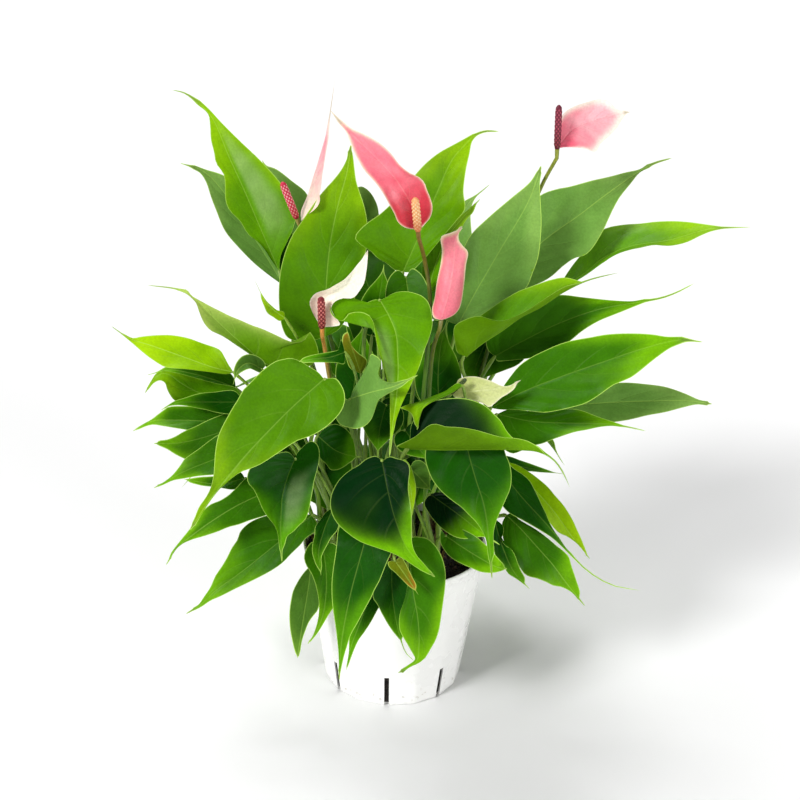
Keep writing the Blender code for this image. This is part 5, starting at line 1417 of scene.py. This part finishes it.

# Each flower's colours: the spathe's heart, its middle, its margin, the width of that margin in
# millimetres, the spadix and the dots on its beads, the stem at its foot and its top.
FLOWER_TONES = {
    # flower_1's deep red heart is partly painted shade: the inside of its cupped base, darker than its own
    # pink.
    "flower_1": (paint(210, 36, 60), paint(240, 118, 136), paint(250, 214, 190), 1.1,
                 paint(240, 172, 112), paint(255, 224, 176), paint(84, 124, 24), paint(140, 104, 46)),
    "flower_2": (paint(238, 112, 130), paint(240, 122, 138), paint(250, 226, 180), 1.3,
                 paint(250, 200, 150), paint(255, 226, 176), paint(84, 124, 24), paint(120, 116, 40)),
    "flower_3": (paint(252, 226, 208), paint(255, 252, 228), paint(255, 254, 240), 1.0,
                 paint(120, 8, 22), paint(236, 140, 130), paint(108, 138, 40), paint(226, 150, 66)),
    "flower_4": (paint(246, 226, 208), paint(240, 152, 166), paint(248, 206, 200), 1.2,
                 paint(206, 30, 70), paint(255, 190, 186), paint(110, 140, 50), paint(170, 150, 70)),
    "flower_5": (paint(236, 88, 116), paint(244, 168, 178), paint(252, 238, 224), 3.2,
                 paint(104, 6, 38), paint(190, 70, 96), paint(96, 120, 30), paint(150, 156, 50)),
    "flower_6": (paint(196, 206, 118), paint(214, 220, 146), paint(230, 234, 178), 0.9,
                 paint(54, 74, 30), paint(110, 126, 60), paint(110, 140, 50), paint(130, 160, 60)),
}
FLOWER_SLOTS = {
    "flower_1": ("spathe_pink", "spadix_yellow"), "flower_2": ("spathe_pink", "spadix_yellow"),
    "flower_3": ("spathe_cream", "spadix_red"), "flower_4": ("spathe_pink", "spadix_red"),
    "flower_5": ("spathe_pink", "spadix_red"), "flower_6": ("spathe_green", "spadix_green"),
}


SPATHE_TIP = paint(168, 164, 128)


def spathe_looks(spec, at, tones, seed):
    """Colours of a spathe: the heart's colour round its base passes into the middle's, then into
    the margin's within a few millimetres of the edge, with streaks along the side veins. The
    drip tip is a dull green."""
    heart, middle, margin, margin_width = tones[:4]
    streak = 0.5 + 0.5 * swell(np.stack([at["row"] * 16, at["v"]], -1), 1.0, 0.7, seed)
    share = ease(at["along"] + 0.1 * streak, 0.10, 0.62)[..., None]
    tone = heart + (middle - heart) * share
    near = np.exp(-(at["edge"] / margin_width)**2)[..., None]
    tone = tone + (margin - tone) * np.clip(near + 0.05 * np.clip(streak, 0, 1)[..., None] * share, 0, 1)
    drip = ease(at["along"], spec["end"] - 0.02, 0.4 + 0.6 * spec["end"])[..., None]
    tone = tone + (SPATHE_TIP - tone) * 0.8 * drip
    place = np.stack([at["along"], at["v"], at["row"]], -1)
    return dict(tone=tone, pale=np.broadcast_to([0.07, 0.5, 0.3], tone.shape), place=place,
                edge=at["edge"], rib=at["rib"])


SPADIX_ROWS = 120
SPADIX_SIDES = 60
BEADS_AROUND = 6
BEAD_PITCH = 3.0


def spadix_band(foot, bend, tip, radius):
    """The spike: a bar along a curve, fuller below its middle and blunt at its tip. Its beads are
    the product of two families of waves that wind round it in opposite spirals."""
    share = np.linspace(0, 1, SPADIX_ROWS)
    line = curve([foot, bend, tip], SPADIX_ROWS)
    length = np.linalg.norm(tip - foot)
    full = np.interp(share, [0, 0.08, 0.3, 0.8, 0.94, 0.98, 1], [0.8, 0.95, 1, 0.98, 0.88, 0.6, 0.3])
    angle = np.arange(SPADIX_SIDES) * 2 * np.pi / SPADIX_SIDES
    climb = share[:, None] * length / BEAD_PITCH * np.pi
    turn = angle * BEADS_AROUND / 2
    bead = np.abs(np.cos(turn + climb) * np.cos(turn - climb))**0.7
    bead = bead * np.clip(share * 14, 0, 1)[:, None] * np.clip((1 - share) * 10, 0, 1)[:, None]
    radii = radius * full[:, None] * (0.86 + 0.2 * bead)
    at = np.concatenate([bead[:1], bead, bead[-1:]])
    return skin(round_bar(line, radii, SPADIX_SIDES), bead=at, climb=bar_share(line, SPADIX_SIDES))


SPATHE_VEINS = 11


def spathe_finish(name, gloss):
    """A spathe's face: waxy, with faint light veins, a light margin and a soft gloss."""
    return blade_finish(name, paint(252, 236, 214), SPATHE_VEINS, gloss, mottle=0.3)


def spadix_finish(name, flesh, dots):
    """A spadix: one colour for its flesh and one for the dots on its beads, with fine grain, and
    darker and browner towards its foot, partly its own brown and partly painted shade from the
    spathe that hoods it."""
    material, tree, shader = new_finish(name, Roughness=0.5)
    tint = blend(tree, span(tree, look(tree, "bead"), 0.5, 0.8, 0.0, 0.8), flesh, dots)
    # Darker and browner towards the foot: partly its own colour, partly painted shade inside the hood.
    foot = span(tree, look(tree, "climb"), 0.05, 0.6, 0.8, 0.0)
    tint = blend(tree, foot, tint, (0.62, 0.3, 0.22), "MULTIPLY")
    tree.links.new(tint, shader.inputs["Base Color"])
    raise_surface(tree, shader, noise(tree, 1500, 2), 0.0002)
    return material


SPATHE_GRID = (72, 40)
FLOWER_SEEDS = 700
STEM_ROWS = 60
STEM_SIDES = 14
spathe_upper = spathe_finish("spathe_upper", (0.32, 0.45))
spathe_under = spathe_finish("spathe_under", (0.42, 0.55))
stem_green = stalk_finish("flower_stem", 0.4)
for number, (flower, spec) in enumerate(FLOWERS.items()):
    tones = FLOWER_TONES[flower]
    spathe_slot, spadix_slot = FLOWER_SLOTS[flower]
    seed = FLOWER_SEEDS + number
    band, at = blade_band(spec["spathe"], seed, *SPATHE_GRID, thick=0.6, rib=0.3, rib_width=0.8,
                          veins=SPATHE_VEINS, quilt=0.10, ripple=0.25, ripple_length=18)
    band["looks"] = spathe_looks(spec["spathe"], at, tones, seed)
    add_piece("spathe_%d" % (number + 1), [band], [spathe_upper, spathe_under], flower + "_spathe",
              sharp=60)

    tangent, _, normal = midrib_frames(spec["spathe"])
    top = spec["spathe"]["line"][0] + normal[4] * spec["offset"] + tangent[4] * 0.6
    axis = unit(spec["spadix_tip"] - top)
    spike = spadix_band(top + 0.3 * axis, (top + spec["spadix_tip"]) / 2 + 0.2 * axis,
                        spec["spadix_tip"], spec["spadix_radius"])
    spike_finish = spadix_finish(spadix_slot + "_%d" % (number + 1), *tones[4:6])
    add_piece("spadix_%d" % (number + 1), [spike], [spike_finish], flower + "_spadix",
              sharp=80)

    foot = np.array([*spec["foot"], SOIL_TOP - HOLE_DEPTH])
    rise = [foot, foot + [0, 0, 27.0], foot + [0, 0, 50.0]]
    bend = curve(rise + spec["way"][::-1] + [top - 6 * axis], STEM_ROWS)
    line = np.vstack([bend, top - 4 * axis, top - 2 * axis, top])
    share = np.linspace(0, 1, len(line))
    radii = np.interp(share, [0, 0.93, 1], [1.85, 1.25, 1.5])
    at = bar_share(line, STEM_SIDES)[..., None]
    tone = tones[6] + (tones[7] - tones[6]) * ease(at, 0.6, 1.0)
    tone = tone + (STALK_FOOT - tone) * ease(-at, -0.16, 0.0) * 0.7
    stem = skin(round_bar(line, radii, STEM_SIDES), tone=tone)
    add_piece("stem_%d" % (number + 1), [stem], [stem_green], flower + "_stem")

# Studio: a matte white floor that runs out of sight, weak white light from all round, and distant
# soft lamps: from the front left, which throws the long shadow, from high up behind, and from the
# front right. The camera sees the light all round as plain white.
FLOOR_HALF = 30.0
FLOOR_DROP = 0.0002
ALL_ROUND = 0.17


def white_floor():
    """A wide sheet with very slight unevenness, painted matte white."""
    steps = np.linspace(-FLOOR_HALF, FLOOR_HALF, 13)
    x, y = np.meshgrid(steps, steps)
    points = np.stack([x, y, 0 * x - FLOOR_DROP], -1).reshape(-1, 3)
    index = np.arange(len(points)).reshape(x.shape)
    quads = np.stack([index[:-1, :-1], index[:-1, 1:], index[1:, 1:], index[1:, :-1]], -1).reshape(-1, 4)
    mesh = bpy.data.meshes.new("floor")
    mesh.from_pydata(points.tolist(), [], quads.tolist())
    material, tree, shader = new_finish("floor_white", Roughness=0.9)
    tint = blend(tree, noise(tree, 3, 2), paint(244, 244, 244), paint(247, 247, 247))
    tree.links.new(tint, shader.inputs["Base Color"])
    shader.inputs["Specular IOR Level"].default_value = 0.1
    mesh.materials.append(material)
    floor = bpy.data.objects.new("floor", mesh)
    bpy.context.scene.collection.objects.link(floor)


white_floor()
world = bpy.data.worlds.new("studio")
bpy.context.scene.world = world
world.use_nodes = True
sky = world.node_tree.nodes["Background"]
sky.inputs["Color"].default_value = (1.0, 1.0, 1.0, 1)
look_out = add_node(world.node_tree, "LightPath").outputs["Is Camera Ray"]
strength = span(world.node_tree, look_out, 0.0, 1.0, ALL_ROUND, 1.0)
world.node_tree.links.new(strength, sky.inputs["Strength"])


def placed(axes, spot=(0, 0, 0)):
    """The matrix that turns an object's own x, y and z to three directions and moves it to a
    spot, in metres."""
    return Matrix(np.vstack([np.column_stack([*axes, spot]), [0, 0, 0, 1]]).tolist())


def distant_lamp(name, azimuth, elevation, spread, power):
    """Even light from one direction of the sky, spread over a disc of it. Angles in degrees."""
    lamp = bpy.data.lights.new(name, "SUN")
    lamp.energy, lamp.angle = power, np.radians(spread)
    made = bpy.data.objects.new(name, lamp)
    a, e = np.radians([azimuth, elevation])
    away = np.array([np.cos(a) * np.cos(e), np.sin(a) * np.cos(e), np.sin(e)])
    across = unit(np.cross([0, 0, 1.0], away))
    made.matrix_world = placed([across, np.cross(away, across), away])
    bpy.context.scene.collection.objects.link(made)


distant_lamp("key", 222, 33, 16, 2.4)
distant_lamp("top", 118, 62, 26, 1.75)
distant_lamp("fill", 313, 14, 20, 1.2)

# Camera: fitted to the pot's rim, foot and slots in the 800 pixel photograph.
SENSOR = 36.0
camera = bpy.data.cameras.new("camera")
camera.sensor_width = SENSOR
camera.lens = SENSOR * FOCAL_PX / (2 * MIDDLE_PX)
camera.clip_start, camera.clip_end = 0.05, 100.0
viewer = bpy.data.objects.new("camera", camera)
viewer.matrix_world = placed([RIGHT, UP, -FORWARD], EYE * MM)
bpy.context.scene.collection.objects.link(viewer)
bpy.context.scene.camera = viewer
bpy.context.scene.view_settings.view_transform = "Standard"
